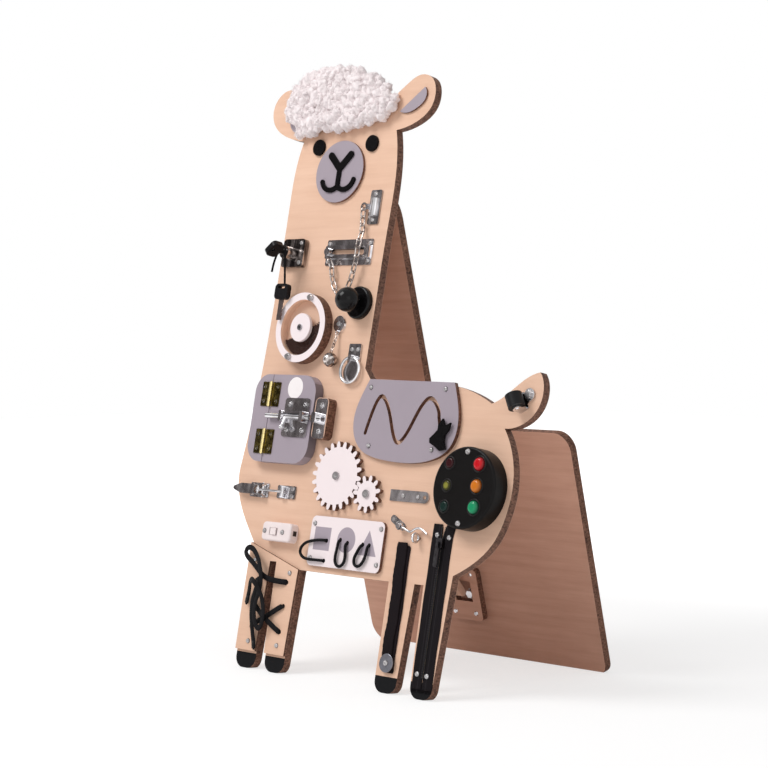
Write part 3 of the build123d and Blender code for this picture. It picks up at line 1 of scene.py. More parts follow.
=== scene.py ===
"""Llama-shaped activity board on its folding stand: finishes, soft pieces, light and camera.

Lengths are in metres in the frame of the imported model. Places on the front board are given
as (u, v, w) in millimetres: u to the right, v up the leaning face, w out of it.
"""

from math import copysign, cos, hypot, pi, radians, sin
from random import Random

import bmesh
import bpy
from mathutils import Matrix, Vector, noise


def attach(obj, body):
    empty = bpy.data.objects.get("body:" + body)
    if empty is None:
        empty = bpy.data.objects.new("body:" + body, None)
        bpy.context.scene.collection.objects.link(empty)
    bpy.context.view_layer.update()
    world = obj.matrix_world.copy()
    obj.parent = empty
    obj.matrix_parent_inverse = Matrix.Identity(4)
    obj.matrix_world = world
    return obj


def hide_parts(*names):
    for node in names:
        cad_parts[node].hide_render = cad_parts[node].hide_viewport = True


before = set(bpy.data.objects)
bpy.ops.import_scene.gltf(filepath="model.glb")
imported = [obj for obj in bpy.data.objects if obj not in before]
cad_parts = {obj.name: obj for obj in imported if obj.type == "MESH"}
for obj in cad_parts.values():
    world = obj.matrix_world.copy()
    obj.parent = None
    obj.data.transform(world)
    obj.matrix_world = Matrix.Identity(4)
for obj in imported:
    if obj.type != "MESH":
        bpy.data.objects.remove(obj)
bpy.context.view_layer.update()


# ---- Camera ----
# The board is seen from its tail side, almost level, through a long lens.
def new_object(name, data):
    """An object in the scene that holds some data."""
    item = bpy.data.objects.new(name, data)
    bpy.context.collection.objects.link(item)
    return item


eye = Vector((1.9408, -1.9926, 0.4796))
look_at = Vector((0.0955, -0.1646, 0.3935))
camera_data = bpy.data.cameras.new("camera")
camera_data.lens = 96.26
camera_data.sensor_width = 36.0
camera_data.clip_end = 50.0
camera = new_object("camera", camera_data)
camera.location = eye
camera.rotation_euler = (look_at - eye).to_track_quat("-Z", "Y").to_euler()
bpy.context.scene.camera = camera

# ---- Where things are on the leaning front board ----
# Places on it run across it, up its face and out of its face.
mm = 0.001
board_origin = Vector((0.0955, -0.1646, 0.0))
board_turn = pi / 2 - radians(11.65)
board = Matrix.Translation(board_origin) @ Matrix.Rotation(board_turn, 4, "X") @ Matrix.Scale(mm, 4)


def at(u, v, w=0.0):
    """A place on the front board, in metres."""
    return board @ Vector((u, v, w))


# ---- How finishes are written ----
# A Signal is one shader socket; arithmetic on it adds Math nodes to its tree.
class Signal:
    """A shader socket that Python arithmetic can work on."""

    def __init__(self, nodes, socket):
        self.nodes = nodes
        self.socket = socket

    def math(self, operation, *others):
        return self.nodes.math(operation, self, *others)

    def __add__(self, other):
        return self.math("ADD", other)

    def __sub__(self, other):
        return self.math("SUBTRACT", other)

    def __rsub__(self, other):
        return self.nodes.math("SUBTRACT", other, self)

    def __mul__(self, other):
        return self.math("MULTIPLY", other)

    __radd__ = __add__
    __rmul__ = __mul__

    def above(self, edge, softness=0.1):
        """0 below an edge and 1 above it, with a short soft step between."""
        return self.nodes.node(
            "ShaderNodeMapRange", {"clamp": True, "interpolation_type": "SMOOTHSTEP"},
            {"Value": self, "From Min": edge - softness, "From Max": edge + softness},
        )

    def below(self, edge, softness=0.1):
        return 1.0 - self.above(edge, softness)

    def between(self, low, high, softness=0.1):
        return self.above(low, softness) * self.below(high, softness)

    def clipped(self):
        """The same, kept between 0 and 1."""
        return self.math("MAXIMUM", 0.0).math("MINIMUM", 1.0)


class Nodes:
    """A shader tree that new nodes are added to."""

    def __init__(self, tree):
        self.tree = tree

    def node(self, kind, settings=None, inputs=None, output=0):
        """Any node: its settings, then its sockets' values or links."""
        node = self.tree.nodes.new(kind)
        for key, value in (settings or {}).items():
            setattr(node, key, value)
        for key, value in (inputs or {}).items():
            socket = node.inputs[key]
            if isinstance(value, Signal):
                self.tree.links.new(value.socket, socket)
            elif isinstance(value, tuple) and socket.type == "RGBA":
                socket.default_value = (*value[:3], 1.0)
            else:
                socket.default_value = value
        return Signal(self, node.outputs[output])

    def math(self, operation, *values):
        return self.node("ShaderNodeMath", {"operation": operation}, dict(enumerate(values)))

    def mix(self, first, second, factor):
        """A colour that goes from the first to the second as the factor goes from 0 to 1."""
        inputs = {0: factor, 6: first, 7: second}
        return self.node("ShaderNodeMix", {"data_type": "RGBA"}, inputs, output=2)

    def looked_at(self):
        """1 for the camera, mirrors and clear windows, and 0 for light that bounces."""
        camera_ray, glossy_ray, clear_ray = (
            self.node("ShaderNodeLightPath", output=kind)
            for kind in ("Is Camera Ray", "Is Glossy Ray", "Is Transmission Ray")
        )
        return (camera_ray + glossy_ray + clear_ray).math("MINIMUM", 1.0)


class Finish(Nodes):
    """One procedural material; its place has the parts u, v and w, in millimetres on a board."""

    def __init__(self, name, origin=board_origin, turn=board_turn, unit=mm, **constants):
        self.material = bpy.data.materials.new(name)
        self.material.use_nodes = True
        super().__init__(self.material.node_tree)
        self.shader = self.tree.nodes["Principled BSDF"]
        for key, value in constants.items():
            self.set("Specular IOR Level" if key == "Specular" else key.replace("_", " "), value)
        self.place = self.node("ShaderNodeMapping", {"vector_type": "TEXTURE"}, {
            "Vector": self.node("ShaderNodeTexCoord", output=3), "Location": tuple(origin),
            "Rotation": (turn, 0.0, 0.0), "Scale": (unit, unit, unit),
        })
        split = self.tree.nodes.new("ShaderNodeSeparateXYZ")
        self.tree.links.new(self.place.socket, split.inputs[0])
        self.u, self.v, self.w = (Signal(self, part) for part in split.outputs)

    def set(self, key, value):
        """Gives one of the shader's sockets a constant or a link."""
        if isinstance(value, Signal):
            self.tree.links.new(value.socket, self.shader.inputs[key])
        else:
            self.shader.inputs[key].default_value = value

    def paint(self, dark, light, factor):
        """Sets the colour, which goes from dark to light with the factor."""
        self.set("Base Color", self.mix(dark, light, factor))

    def noise(self, stretch, detail=4.0, roughness=0.55):
        """Noise in cycles per millimetre, which may differ along the three axes."""
        if not isinstance(stretch, tuple):
            stretch = (stretch, stretch, stretch)
        scaled = self.node("ShaderNodeMapping", None, {"Vector": self.place, "Scale": stretch})
        inputs = {"Vector": scaled, "Scale": 1.0, "Detail": detail, "Roughness": roughness}
        return self.node("ShaderNodeTexNoise", None, inputs)

    def reach(self, u, v):
        """The squared distance from an axis that stands on the board."""
        return (self.u - u) * (self.u - u) + (self.v - v) * (self.v - v)

    def bump(self, height, strength, distance):
        """Sets the surface's relief."""
        inputs = {"Strength": strength, "Distance": distance, "Height": height}
        self.set("Normal", self.node("ShaderNodeBump", None, inputs))


def mottled(name, dark, light, grain, detail=4.0, **constants):
    """A finish whose colour wanders between two tones with a noise, which it keeps as its tone."""
    finish = Finish(name, **constants)
    finish.tone = finish.noise(grain, detail)
    finish.paint(dark, light, finish.tone)
    return finish


def dress(names, finish):
    """Gives CAD nodes their finish."""
    for name in names:
        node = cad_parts[name]
        node.data.materials.clear()
        node.data.materials.append(finish.material)


def add_piece(name, mesh, body, finish, node=None, smooth=True, axes=board):
    """A piece that rides on a body, from a mesh in board millimetres; it may replace a CAD node."""
    mesh.transform(axes)
    mesh.materials.clear()
    mesh.materials.append(finish.material)
    for polygon in mesh.polygons:
        polygon.use_smooth = smooth
    piece = new_object(name, mesh)
    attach(piece, body)
    if node:
        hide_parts(node)
    return piece


# ---- Cord on the key, and the two laces ----
# Thin round black cords: one looped round the key's collar, one threaded through the
# white plate and the board, and the shoelace tied in a bow on the front legs.
woven = Finish("black_lace", Roughness=0.7, Specular=0.1)
plait = ((woven.u + woven.v) * 4.4).math("SINE") * ((woven.v - woven.u) * 4.4).math("SINE")
fluff = woven.noise(0.9)
woven.paint((0.003, 0.003, 0.004), (0.022, 0.02, 0.022), plait * 0.35 + fluff * 0.6)
woven.bump(plait * 0.6 + fluff, 0.5, 0.0004)


def cord_line(name, route):
    """A smooth line whose control points are the cord's route."""
    curve = bpy.data.curves.new(name, "CURVE")
    curve.dimensions = "3D"
    curve.resolution_u = 10
    spline = curve.splines.new("NURBS")
    spline.points.add(len(route) - 1)
    for point, place in zip(spline.points, route):
        point.co = (*at(*place), 1.0)
    spline.order_u = 3
    spline.use_endpoint_u = True
    return curve


def round_cord(name, route, diameter, body, node):
    """A round cord as a curve, in place of its CAD solid."""
    curve = cord_line(name, route)
    curve.bevel_depth = diameter / 2
    curve.bevel_resolution = 5
    curve.use_fill_caps = True
    curve.materials.append(woven.material)
    cord = new_object(name, curve)
    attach(cord, body)
    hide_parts(node)
    return cord


key_cord_route = [
    (-303, 546, 31), (-302.4, 556, 31), (-300.6, 565, 30.6), (-298.5, 572.5, 30), (-298, 579.8, 29.6),
    (-293, 584.2, 29.4), (-286.3, 582.6, 29.3), (-283.2, 576.6, 29.2), (-283.8, 566, 27.4),
    (-284.6, 556, 25), (-285.3, 545, 22.2), (-285.5, 531.5, 19.5),
]
key_cord = round_cord("key_cord_black", key_cord_route, 0.003, "pendant", "key_cord")

lacing_route = [
    (-131, 157, -14.8), (-138.4, 157, -14.8), (-141, 157, -12.4), (-141, 157, 5.2), (-144, 157, 8.2),
    (-153, 156.8, 8.6), (-165, 156.5, 9.3), (-177, 157.6, 9.3), (-185, 163.5, 9), (-185, 171.5, 8.6),
    (-177, 178.5, 8.4), (-165, 182, 8.2), (-153, 183.6, 8.2), (-144, 184, 8.2), (-141, 184, 5.2),
    (-141, 184, -12.4), (-138.4, 184.3, -14.8), (-128, 185.5, -15), (-117.6, 186.7, -14.8),
    (-115, 187, -12.4), (-115, 187, 5.2), (-115, 184, 8.2), (-115.3, 175.5, 8.4), (-117, 166, 8.2),
    (-116.5, 157.5, 8.2), (-111, 151.8, 8.2), (-104, 152.2, 8.2), (-98.8, 158, 8.2), (-98.3, 166.5, 8.2),
    (-100, 174.5, 8.4), (-101, 181, 8.2), (-101, 184, 5.2), (-101, 184, -12.4), (-98.4, 184, -14.8),
    (-86.5, 184, -15), (-74.6, 184, -14.8), (-72, 184, -12.4), (-72, 184, 5.2), (-73, 181.2, 8.2),
    (-77, 173.5, 8.4), (-81.5, 165, 8.2), (-80.5, 157.5, 8.2), (-74, 154.2, 8.2), (-67, 157.5, 8.2),
    (-62.3, 165, 8.2), (-60.2, 173, 8.4), (-60, 181, 8.2), (-60, 184, 5.2), (-60, 184, -12.4),
    (-57.4, 184, -14.8), (-50, 184, -14.8),
]
lacing_lace = round_cord("lacing_lace_black", lacing_route, 0.004, "front", "lacing_lace")

leg_lace_route = [
    (-277.5, 87, 8), (-275.6, 96.5, 8.6), (-272.8, 106, 10.5), (-269, 115, 14.5), (-261.5, 120.5, 20),
    (-252, 118, 24), (-243, 109.5, 22), (-237, 97.5, 18), (-233, 84.5, 16.4), (-231.5, 71, 16.2),
    (-233.5, 59, 15.2), (-240, 54.5, 14.8), (-247, 63, 15.4), (-251, 76, 16.2), (-251, 90, 16.2),
    (-246.5, 104, 16.6), (-243.5, 118, 17.6), (-247, 132, 18.4), (-254, 144.5, 17.2), (-265, 156, 15),
    (-277, 163, 13.5), (-286.5, 162.5, 13), (-289.5, 155.5, 13), (-283, 149.5, 13.5), (-272, 144, 14),
    (-260, 136, 14), (-248, 127, 12.5), (-236, 123, 11), (-222, 122.2, 9.5), (-209.8, 122, 7),
    (-207, 122, 4.4), (-207, 122, -12.4), (-207, 119.4, -14.8), (-207, 106, -15), (-207, 92.6, -14.8),
    (-207, 90, -12.4), (-207, 90, 4.4), (-209.8, 88.4, 6.8), (-222, 81, 7), (-236, 72.5, 7),
    (-250, 65, 7), (-263.2, 58.6, 6.8), (-266, 57, 4.4), (-266, 57, -12.4), (-263.4, 56.9, -14.8),
    (-250, 56.4, -15), (-236, 56, -15), (-223, 55.6, -15), (-209.6, 55.1, -14.8), (-207, 55, -12.4),
    (-207, 55, 4.4), (-209.8, 56.8, 7), (-222, 64.4, 10.4), (-236, 72.5, 11.8), (-250, 80.6, 10.4),
    (-263.2, 88.3, 7), (-266, 90, 4.4), (-266, 90, -12.4), (-266, 92.6, -14.8), (-266, 106, -15),
    (-266, 119.4, -14.8), (-266, 122, -12.4), (-266, 122, 4.4), (-263.6, 121.6, 7.2), (-258.5, 116, 10.4),
    (-258, 106, 13), (-258.5, 94, 14.6), (-258.5, 82, 14.6), (-257.5, 70, 13.5), (-256.5, 58, 11),
    (-255, 46, 8.4), (-252.5, 36, 7), (-251, 28, 6.6),
]


def line_points(curve):
    """The points that a bare curve is drawn through."""
    holder = new_object("line_reader", curve)
    depsgraph = bpy.context.evaluated_depsgraph_get()
    mesh = bpy.data.meshes.new_from_object(holder.evaluated_get(depsgraph))
    points = [vertex.co.copy() for vertex in mesh.vertices]
    bpy.data.objects.remove(holder)
    bpy.data.meshes.remove(mesh)
    return points


def circle(sides):
    """Points round a circle of radius 1."""
    return [(cos(2 * pi * k / sides), sin(2 * pi * k / sides)) for k in range(sides)]


def skin(shape, rings, caps=()):
    """Faces between neighbouring rings of vertices, of which the first may be one point."""
    for first, second in zip(rings, rings[1:]):
        for k in range(len(second)):
            after = (k + 1) % len(second)
            corners = [first[k % len(first)], second[k], second[after]]
            if len(first) > 1:
                corners.append(first[after])
            shape.faces.new(corners)
    for cap in caps:
        shape.faces.new(rings[cap])


def plain_mesh(shape, name):
    """A mesh from a shape, which is given up."""
    mesh = bpy.data.meshes.new(name)
    shape.to_mesh(mesh)
    shape.free()
    return mesh


def closed_mesh(shape, name):
    """The same, with its faces turned outward."""
    bmesh.ops.recalc_face_normals(shape, faces=shape.faces)
    return plain_mesh(shape, name)


def flat_tape(points, width, thickness, sides=12):
    """A flat lace along a line: its broad side keeps facing out of the board."""
    shape = bmesh.new()
    out = (board.to_3x3() @ Vector((0, 0, 1))).normalized()
    rings = []
    flat = None
    for i, point in enumerate(points):
        along = (points[min(i + 1, len(points) - 1)] - points[max(i - 1, 0)]).normalized()
        wanted = out.cross(along)
        if wanted.length > 0.45 or flat is None:
            wanted = wanted.normalized()
            flat = wanted if flat is None else flat.lerp(wanted if flat.dot(wanted) > 0 else -wanted, 0.5)
        flat = (flat - along * flat.dot(along)).normalized()
        across, high = flat * (width / 2), along.cross(flat) * (thickness / 2)
        rings.append([shape.verts.new(point + across * x + high * y) for x, y in circle(sides)])
    skin(shape, rings, caps=(0, -1))
    return closed_mesh(shape, "flat_tape")


shoelace_width = 0.0076
shoelace_line = line_points(cord_line("shoelace_line", leg_lace_route))
shoelace = add_piece(
    "shoelace_black", flat_tape(shoelace_line, shoelace_width, 0.0024), "front", woven,
    "leg_lace", axes=Matrix(),
)

# ---- Shoelace tips ----
# Hard shrunk-on plastic tips close both ends of the shoelace.
tip_finish = mottled(
    "lace_tip_plastic", (0.004, 0.004, 0.005), (0.02, 0.02, 0.021), 0.5,
    Roughness=0.3, Specular=0.15,
)
tips_shape = bmesh.new()
for end, inner in ((leg_lace_route[0], leg_lace_route[1]), (leg_lace_route[-1], leg_lace_route[-2])):
    foot = at(*end)
    along = (foot - at(*inner)).normalized()
    turn = along.to_track_quat("Z", "Y").to_matrix().to_4x4()
    for reach, radius in ((-0.010, 0.0023), (-0.002, 0.0021), (0.0, 0.0016)):
        size = 0.010 if reach == -0.010 else 0.002
        bmesh.ops.create_cone(
            tips_shape, cap_ends=True, segments=14, radius1=radius, radius2=radius * 0.86, depth=size,
            matrix=Matrix.Translation(foot + along * (reach + size / 2)) @ turn,
        )
tips_mesh = plain_mesh(tips_shape, "shoelace_tips")
shoelace_tips = add_piece("shoelace_tips", tips_mesh, "front", tip_finish, axes=Matrix())

# ---- Plywood of the front board ----
# Birch plywood, laser cut: pale veneer with faint grain on both faces, burnt edges that
# show the plies, and hooves painted black on the front face only.
board_thickness = 12.0
hoof_height = 21.3
soot = (0.003, 0.003, 0.004)


def veneer(finish, light, dark):
    """Pale rotary-cut veneer with its grain across the board: its colour and its relief."""
    streaks = finish.noise((0.006, 0.11, 0.11), 5.0, 0.6)
    pores = finish.noise((0.05, 1.3, 1.3), 3.0, 0.6)
    clouds = finish.noise((0.008, 0.012, 0.012), 3.0)
    tone = (streaks - 0.5) * 1.5 + (pores - 0.5) * 0.55 + (clouds - 0.5) * 1.1 + 0.4
    return finish.mix(light, dark, tone.clipped()), streaks * 0.5 + pores


def burnt_edge(finish):
    """The laser-cut edge, with plies as stripes and fine marks across them: colour and relief."""
    marks = finish.noise((0.42, 0.42, 0.22), 2.0, 0.7)
    scorch = finish.noise(0.03, 2.0)
    ply = ((finish.w * (pi / 1.33)).math("SINE")).above(0.0, 0.5)
    tone = 0.3 + ply * 0.25 + (marks - 0.5) * 1.8 + (scorch - 0.5) * 0.7
    return finish.mix((0.035, 0.015, 0.011), (0.33, 0.17, 0.115), tone.clipped()), marks


def both_faces(finish):
    """1 on the two broad faces of a board, and 0 on its edges."""
    return finish.w.above(-0.15, 0.05) + finish.w.below(0.15 - board_thickness, 0.05)


plywood = Finish("front_plywood", Roughness=0.6, Specular=0.2)
face_colour, face_relief = veneer(plywood, (0.79, 0.53, 0.39), (0.69, 0.435, 0.305))
edge_colour, edge_relief = burnt_edge(plywood)
on_face = both_faces(plywood)
hoof_edge = plywood.v + plywood.noise(0.3) * 0.6
on_hoof = hoof_edge.below(hoof_height, 0.25) * plywood.w.above(-0.15, 0.05)
plywood.paint(plywood.mix(edge_colour, face_colour, on_face), soot, on_hoof)
plywood.set("Roughness", 0.64 + on_hoof * 0.2)
plywood.bump(face_relief * 0.3 + edge_relief * (1.0 - on_face), 0.25, 0.0004)
dress(["front_board"], plywood)

# ---- Leg panel ----
# A thin plywood sheet in the same veneer, screwed over both front legs, with six lace holes
# that the shoelace is threaded through.


def thin_plywood(name, node, light, dark, top, strength, **constants):
    """Bare plywood with its face at a height, and burnt edges below it."""
    finish = Finish(name, **constants)
    face, relief = veneer(finish, light, dark)
    finish.paint(burnt_edge(finish)[0], face, finish.w.above(top, 0.05))
    finish.bump(relief, strength, 0.0003)
    dress([node], finish)


thin_plywood(
    "leg_panel_plywood", "leg_panel", (0.80, 0.54, 0.40), (0.70, 0.445, 0.31), 3.9, 0.15,
    Roughness=0.6, Specular=0.2,
)

# ---- Stand: rear panel, bracket and strut ----
# The same plywood without varnish, in darker veneer tones than the front board's that are
# painted shade; the panel swings on two butt hinges behind the neck, and a flat bar between
# the boards sits in the bracket to hold them apart.
foot_spread = 0.317
bare = {"Roughness": 0.75, "Specular": 0.15}
on_rear = {"origin": board_origin + Vector((0.0, foot_spread, 0.0)), "turn": pi / 2 + radians(14.0)}
rear_ply = Finish("rear_plywood", **bare, **on_rear)
# Its veneer is painted darker than the front board's, as painted shade.
rear_shaded_veneer, rear_relief = veneer(rear_ply, (0.60, 0.355, 0.265), (0.45, 0.25, 0.18))
rear_ply.paint(burnt_edge(rear_ply)[0], rear_shaded_veneer, both_faces(rear_ply))
rear_ply.bump(rear_relief * 0.6, 0.25, 0.0004)
dress(["rear_panel"], rear_ply)

# The bracket's darker veneer tones are painted shade, as on the rear panel.
thin_plywood(
    "bracket_plywood", "rear_bracket", (0.64, 0.385, 0.29), (0.49, 0.275, 0.20), 9.85, 0.2,
    **bare, **on_rear,
)

strut_ply = Finish("strut_plywood", **bare)
# The strut's darker veneer tones are painted shade.
strut_shaded_veneer, strut_relief = veneer(strut_ply, (0.66, 0.43, 0.32), (0.5, 0.30, 0.22))
strut_ply.set("Base Color", strut_shaded_veneer)
strut_ply.bump(strut_relief, 0.2, 0.0003)
dress(["strut"], strut_ply)

# ---- Painted plates: muzzle, inner ears, maze plate, gears, spinner case, lacing plate ----
# Plywood blanks sprayed on the front face and then laser cut, so their edges are burnt brown.
lilac_grey = (0.375, 0.322, 0.368)
warm_white = (0.89, 0.79, 0.80)


def painted(name, colour, top, shade=0.9):
    """Sprayed paint on a face at a given height over burnt edges: the finish, paint and edge."""
    finish = Finish(name, Roughness=0.42, Specular=0.2)
    mottle = finish.noise(0.02, 3.0)
    orange_peel = finish.noise(0.9, 2.0)
    darker = tuple(channel * shade for channel in colour)
    paint = finish.mix(darker, colour, mottle * 0.8 + orange_peel * 0.3)
    edge = burnt_edge(finish)[0]
    finish.paint(edge, paint, finish.w.above(top - 0.2, 0.06))
    finish.bump(orange_peel, 0.12, 0.0003)
    return finish, paint, edge


dress(["maze_plate"], painted("grey_maze_paint", lilac_grey, 6.0)[0])

face, face_grey, face_burnt = painted("grey_face_paint", lilac_grey, 3.0)
muzzle_top = 742.0
muzzle_side = face.v.below(muzzle_top, 1.0) * face.w.below(3.8, 0.06)
ear_side = face.v.above(muzzle_top, 1.0) * face.w.below(2.8, 0.06)
face.paint(face_grey, face_burnt, muzzle_side + ear_side)
dress(["grey_face_plates"], face)

dress(["large_gear", "small_gear"], painted("white_gear_paint", warm_white, 6.6, 0.95)[0])

spinner_u, spinner_v = -245.4, 470.7
spinner, case_white, case_burnt = painted("white_case_paint", warm_white, 15.0, 0.95)
cavity = spinner.reach(spinner_u, spinner_v).below(43.0 ** 2, 20.0)
# The tray's veneer is lighter than the board's: painted light against the shade in the cavity.
tray_wood_painted_light = veneer(spinner, (0.95, 0.66, 0.50), (0.86, 0.57, 0.42))[0]
spinner.paint(spinner.mix(case_burnt, tray_wood_painted_light, cavity), case_white, spinner.w.above(14.8, 0.06))
dress(["spinner_case"], spinner)

plate, plate_white, plate_burnt = painted("white_lacing_paint", warm_white, 5.0, 0.95)
square = plate.u.between(-165.5, -134.5) * plate.v.between(170.5, 201.5)
round_spot = plate.reach(-104.0, 187.5).below(17.0 ** 2, 3.0)
triangle = (
    plate.v.above(170.0) * (203.5 - plate.v - (plate.u + 62.5).math("ABSOLUTE") * 1.95).above(0.0, 0.15)
)
shapes = (square + round_spot + triangle).math("MINIMUM", 1.0)
lacing_face = plate.mix(plate_white, (0.385, 0.33, 0.378), shapes)
plate.paint(plate_burnt, lacing_face, plate.w.above(4.8, 0.06))
dress(["lacing_plate"], plate)

# ---- Little door ----
# Thick board painted lilac grey on every side, its right side darker as painted shade; the keeper block
# beside it is bare wood.
door = Finish("grey_door_paint", Roughness=0.45, Specular=0.2)
door_mottle = door.noise(0.02, 3.0)
door_peel = door.noise(0.9, 2.0)
door_grey = door.mix((0.335, 0.288, 0.33), lilac_grey, door_mottle * 0.8 + door_peel * 0.3)
block_wood = veneer(door, (0.75, 0.49, 0.37), (0.60, 0.37, 0.27))[0]
block_colour = door.mix(burnt_edge(door)[0], block_wood, door.w.above(14.8, 0.06))
door_right, block_left = -199.0, -192.5
# The door's right side is darkened: painted shade.
door_side_painted_shade = door.w.below(14.7, 0.1) * door.u.above(door_right, 0.5)
door_grey = door.mix(door_grey, (0.20, 0.17, 0.19), door_side_painted_shade)
door.paint(door_grey, block_colour, door.u.above(block_left, 0.3))
door.bump(door_peel, 0.12, 0.0003)
dress(["door_leaf", "door_blocks"], door)

# ---- Round label on the door ----
# A bare white vinyl disc, slightly glossy, stuck on above the bolt.


def disc(rings, centre):
    """A turned form on the board: (radius, height) pairs from its middle outward, in millimetres."""
    shape = bmesh.new()
    loops = []
    for radius, height in rings:
        spots = circle(48) if radius else [(0.0, 0.0)]
        loops.append([
            shape.verts.new((centre[0] + radius * x, centre[1] + radius * y, height)) for x, y in spots
        ])
    skin(shape, loops)
    return closed_mesh(shape, "turned")


label_finish = mottled("white_vinyl", (0.86, 0.80, 0.80), (0.93, 0.89, 0.89), 0.08, Roughness=0.3)
label_mesh = disc([(0, 15.35), (14.6, 15.35), (15.0, 15.2), (15.0, 14.95)], (-236.0, 386.0))
add_piece("door_label", label_mesh, "door", label_finish, smooth=False)

# ---- Eyes, nose and mouth, and the rabbit ----
# Cut from thin black acrylic and glued on with nothing showing; the rabbit rides in the
# maze slot on a pin.
acrylic = mottled(
    "black_acrylic", (0.003, 0.003, 0.003), (0.009, 0.008, 0.009), 0.3, 6.0, Specular=0.07,
)
acrylic.set("Roughness", 0.14 + acrylic.tone * 0.16)
dress(["black_face_pieces", "rabbit_slider"], acrylic)

# ---- Repeated small pieces ----
# Screws, seeds, wool and teeth are one shape each, set out on points of the board.
tree = bpy.data.node_groups.new("layout", "GeometryNodeTree")
layout_keys = {
    key: tree.interface.new_socket(key, in_out="INPUT", socket_type="NodeSocket" + kind).identifier
    for key, kind in (("Geometry", "Geometry"), ("Shape", "Object"), ("Finish", "Material"))
}
tree.interface.new_socket("Geometry", in_out="OUTPUT", socket_type="NodeSocketGeometry")
start, end, source, turn_from, turn_read, size_read, instance, realize, cover = (
    tree.nodes.new(kind) for kind in (
        "NodeGroupInput", "NodeGroupOutput", "GeometryNodeObjectInfo", "FunctionNodeEulerToRotation",
        "GeometryNodeInputNamedAttribute", "GeometryNodeInputNamedAttribute",
        "GeometryNodeInstanceOnPoints", "GeometryNodeRealizeInstances", "GeometryNodeSetMaterial",
    )
)
for read, attribute in ((turn_read, "turn"), (size_read, "size")):
    read.data_type = "FLOAT_VECTOR"
    read.inputs["Name"].default_value = attribute
for first, output, second, entry in (
    (start, "Geometry", instance, "Points"), (start, "Shape", source, "Object"),
    (source, "Geometry", instance, "Instance"), (turn_read, "Attribute", turn_from, 0),
    (turn_from, 0, instance, "Rotation"), (size_read, "Attribute", instance, "Scale"),
    (instance, "Instances", realize, "Geometry"), (realize, "Geometry", cover, "Geometry"),
    (start, "Finish", cover, "Material"), (cover, "Geometry", end, "Geometry"),
):
    tree.links.new(first.outputs[output], second.inputs[entry])


def set_out(name, places, shape_mesh, body, finish, node=None):
    """Copies of a shape at (place, turn, size) in board millimetres, made one plain mesh."""
    points = bpy.data.meshes.new(name)
    points.from_pydata([place for place, turn, size in places], [], [])
    for column, attribute in ((1, "turn"), (2, "size")):
        values = points.attributes.new(attribute, "FLOAT_VECTOR", "POINT").data
        values.foreach_set("vector", [value for row in places for value in row[column]])
    shape = new_object(name + "_shape", shape_mesh)
    holder = new_object(name + "_points", points)
    layout = holder.modifiers.new("layout", "NODES")
    layout.node_group = tree
    layout[layout_keys["Shape"]] = shape
    layout[layout_keys["Finish"]] = finish.material
    depsgraph = bpy.context.evaluated_depsgraph_get()
    mesh = bpy.data.meshes.new_from_object(holder.evaluated_get(depsgraph))
    bpy.data.objects.remove(holder)
    bpy.data.objects.remove(shape)
    return add_piece(name, mesh, body, finish, node)


# ---- Screws ----
# Zinc-plated pan-head screws with a cross recess; larger ones hold the bolt and the case.
zinc = Finish("zinc_steel", Metallic=1.0, Roughness=0.26)
# The cross recess and the rim of each head are painted near black: painted shade.
in_shade = zinc.node("ShaderNodeAttribute", {"attribute_name": "recess"}, output=2)
zinc_colour = zinc.mix((0.42, 0.40, 0.40), (0.66, 0.65, 0.66), zinc.noise(0.1, 2.0))
zinc.paint(zinc_colour, (0.03, 0.025, 0.025), in_shade)
zinc.set("Roughness", 0.2 + zinc.noise(2.0, 2.0) * 0.2)


def in_cross(x, y):
    """Whether a place on a head of radius 1 is in its cross recess."""
    return min(abs(x), abs(y)) < 0.15 and hypot(x, y) < 0.6


def pan_head():
    """A domed head of radius 1 with a cross recess, its seat at height 0, over a short shank."""
    shape = bmesh.new()
    loops = [[shape.verts.new((0, 0, 0.18))]]
    for share in (0.14, 0.28, 0.42, 0.56, 0.7, 0.84, 0.95, 1.0):
        height = 0.56 * (1 - share ** 2.6) + 0.1
        loops.append([
            shape.verts.new((share * x, share * y, height - 0.32 * in_cross(share * x, share * y)))
            for x, y in circle(32)
        ])
    for radius, height in ((1.0, 0.0), (0.47, 0.0), (0.47, -1.2)):
        loops.append([shape.verts.new((radius * x, radius * y, height)) for x, y in circle(32)])
    skin(shape, loops, caps=(-1,))
    mesh = closed_mesh(shape, "pan_head")
    # The recess is marked 1 and the rim 0.9, where the finish paints shade.
    recess = mesh.attributes.new("recess", "FLOAT", "POINT")
    for vertex, mark in zip(mesh.vertices, recess.data):
        x, y = vertex.co.xy
        mark.value = 1.0 if in_cross(x, y) else 0.9 if hypot(x, y) > 0.9 else 0.0
    return mesh


turning = Random(11)


def heads(rows):
    """Screws from rows of seat height, radius, share of height and places, turned by chance."""
    return [
        ((*place, seat), (0.0, 0.0, turning.uniform(0, pi)), (radius, radius, radius * tall))
        for seat, radius, tall, places in rows
        for place in places
    ]


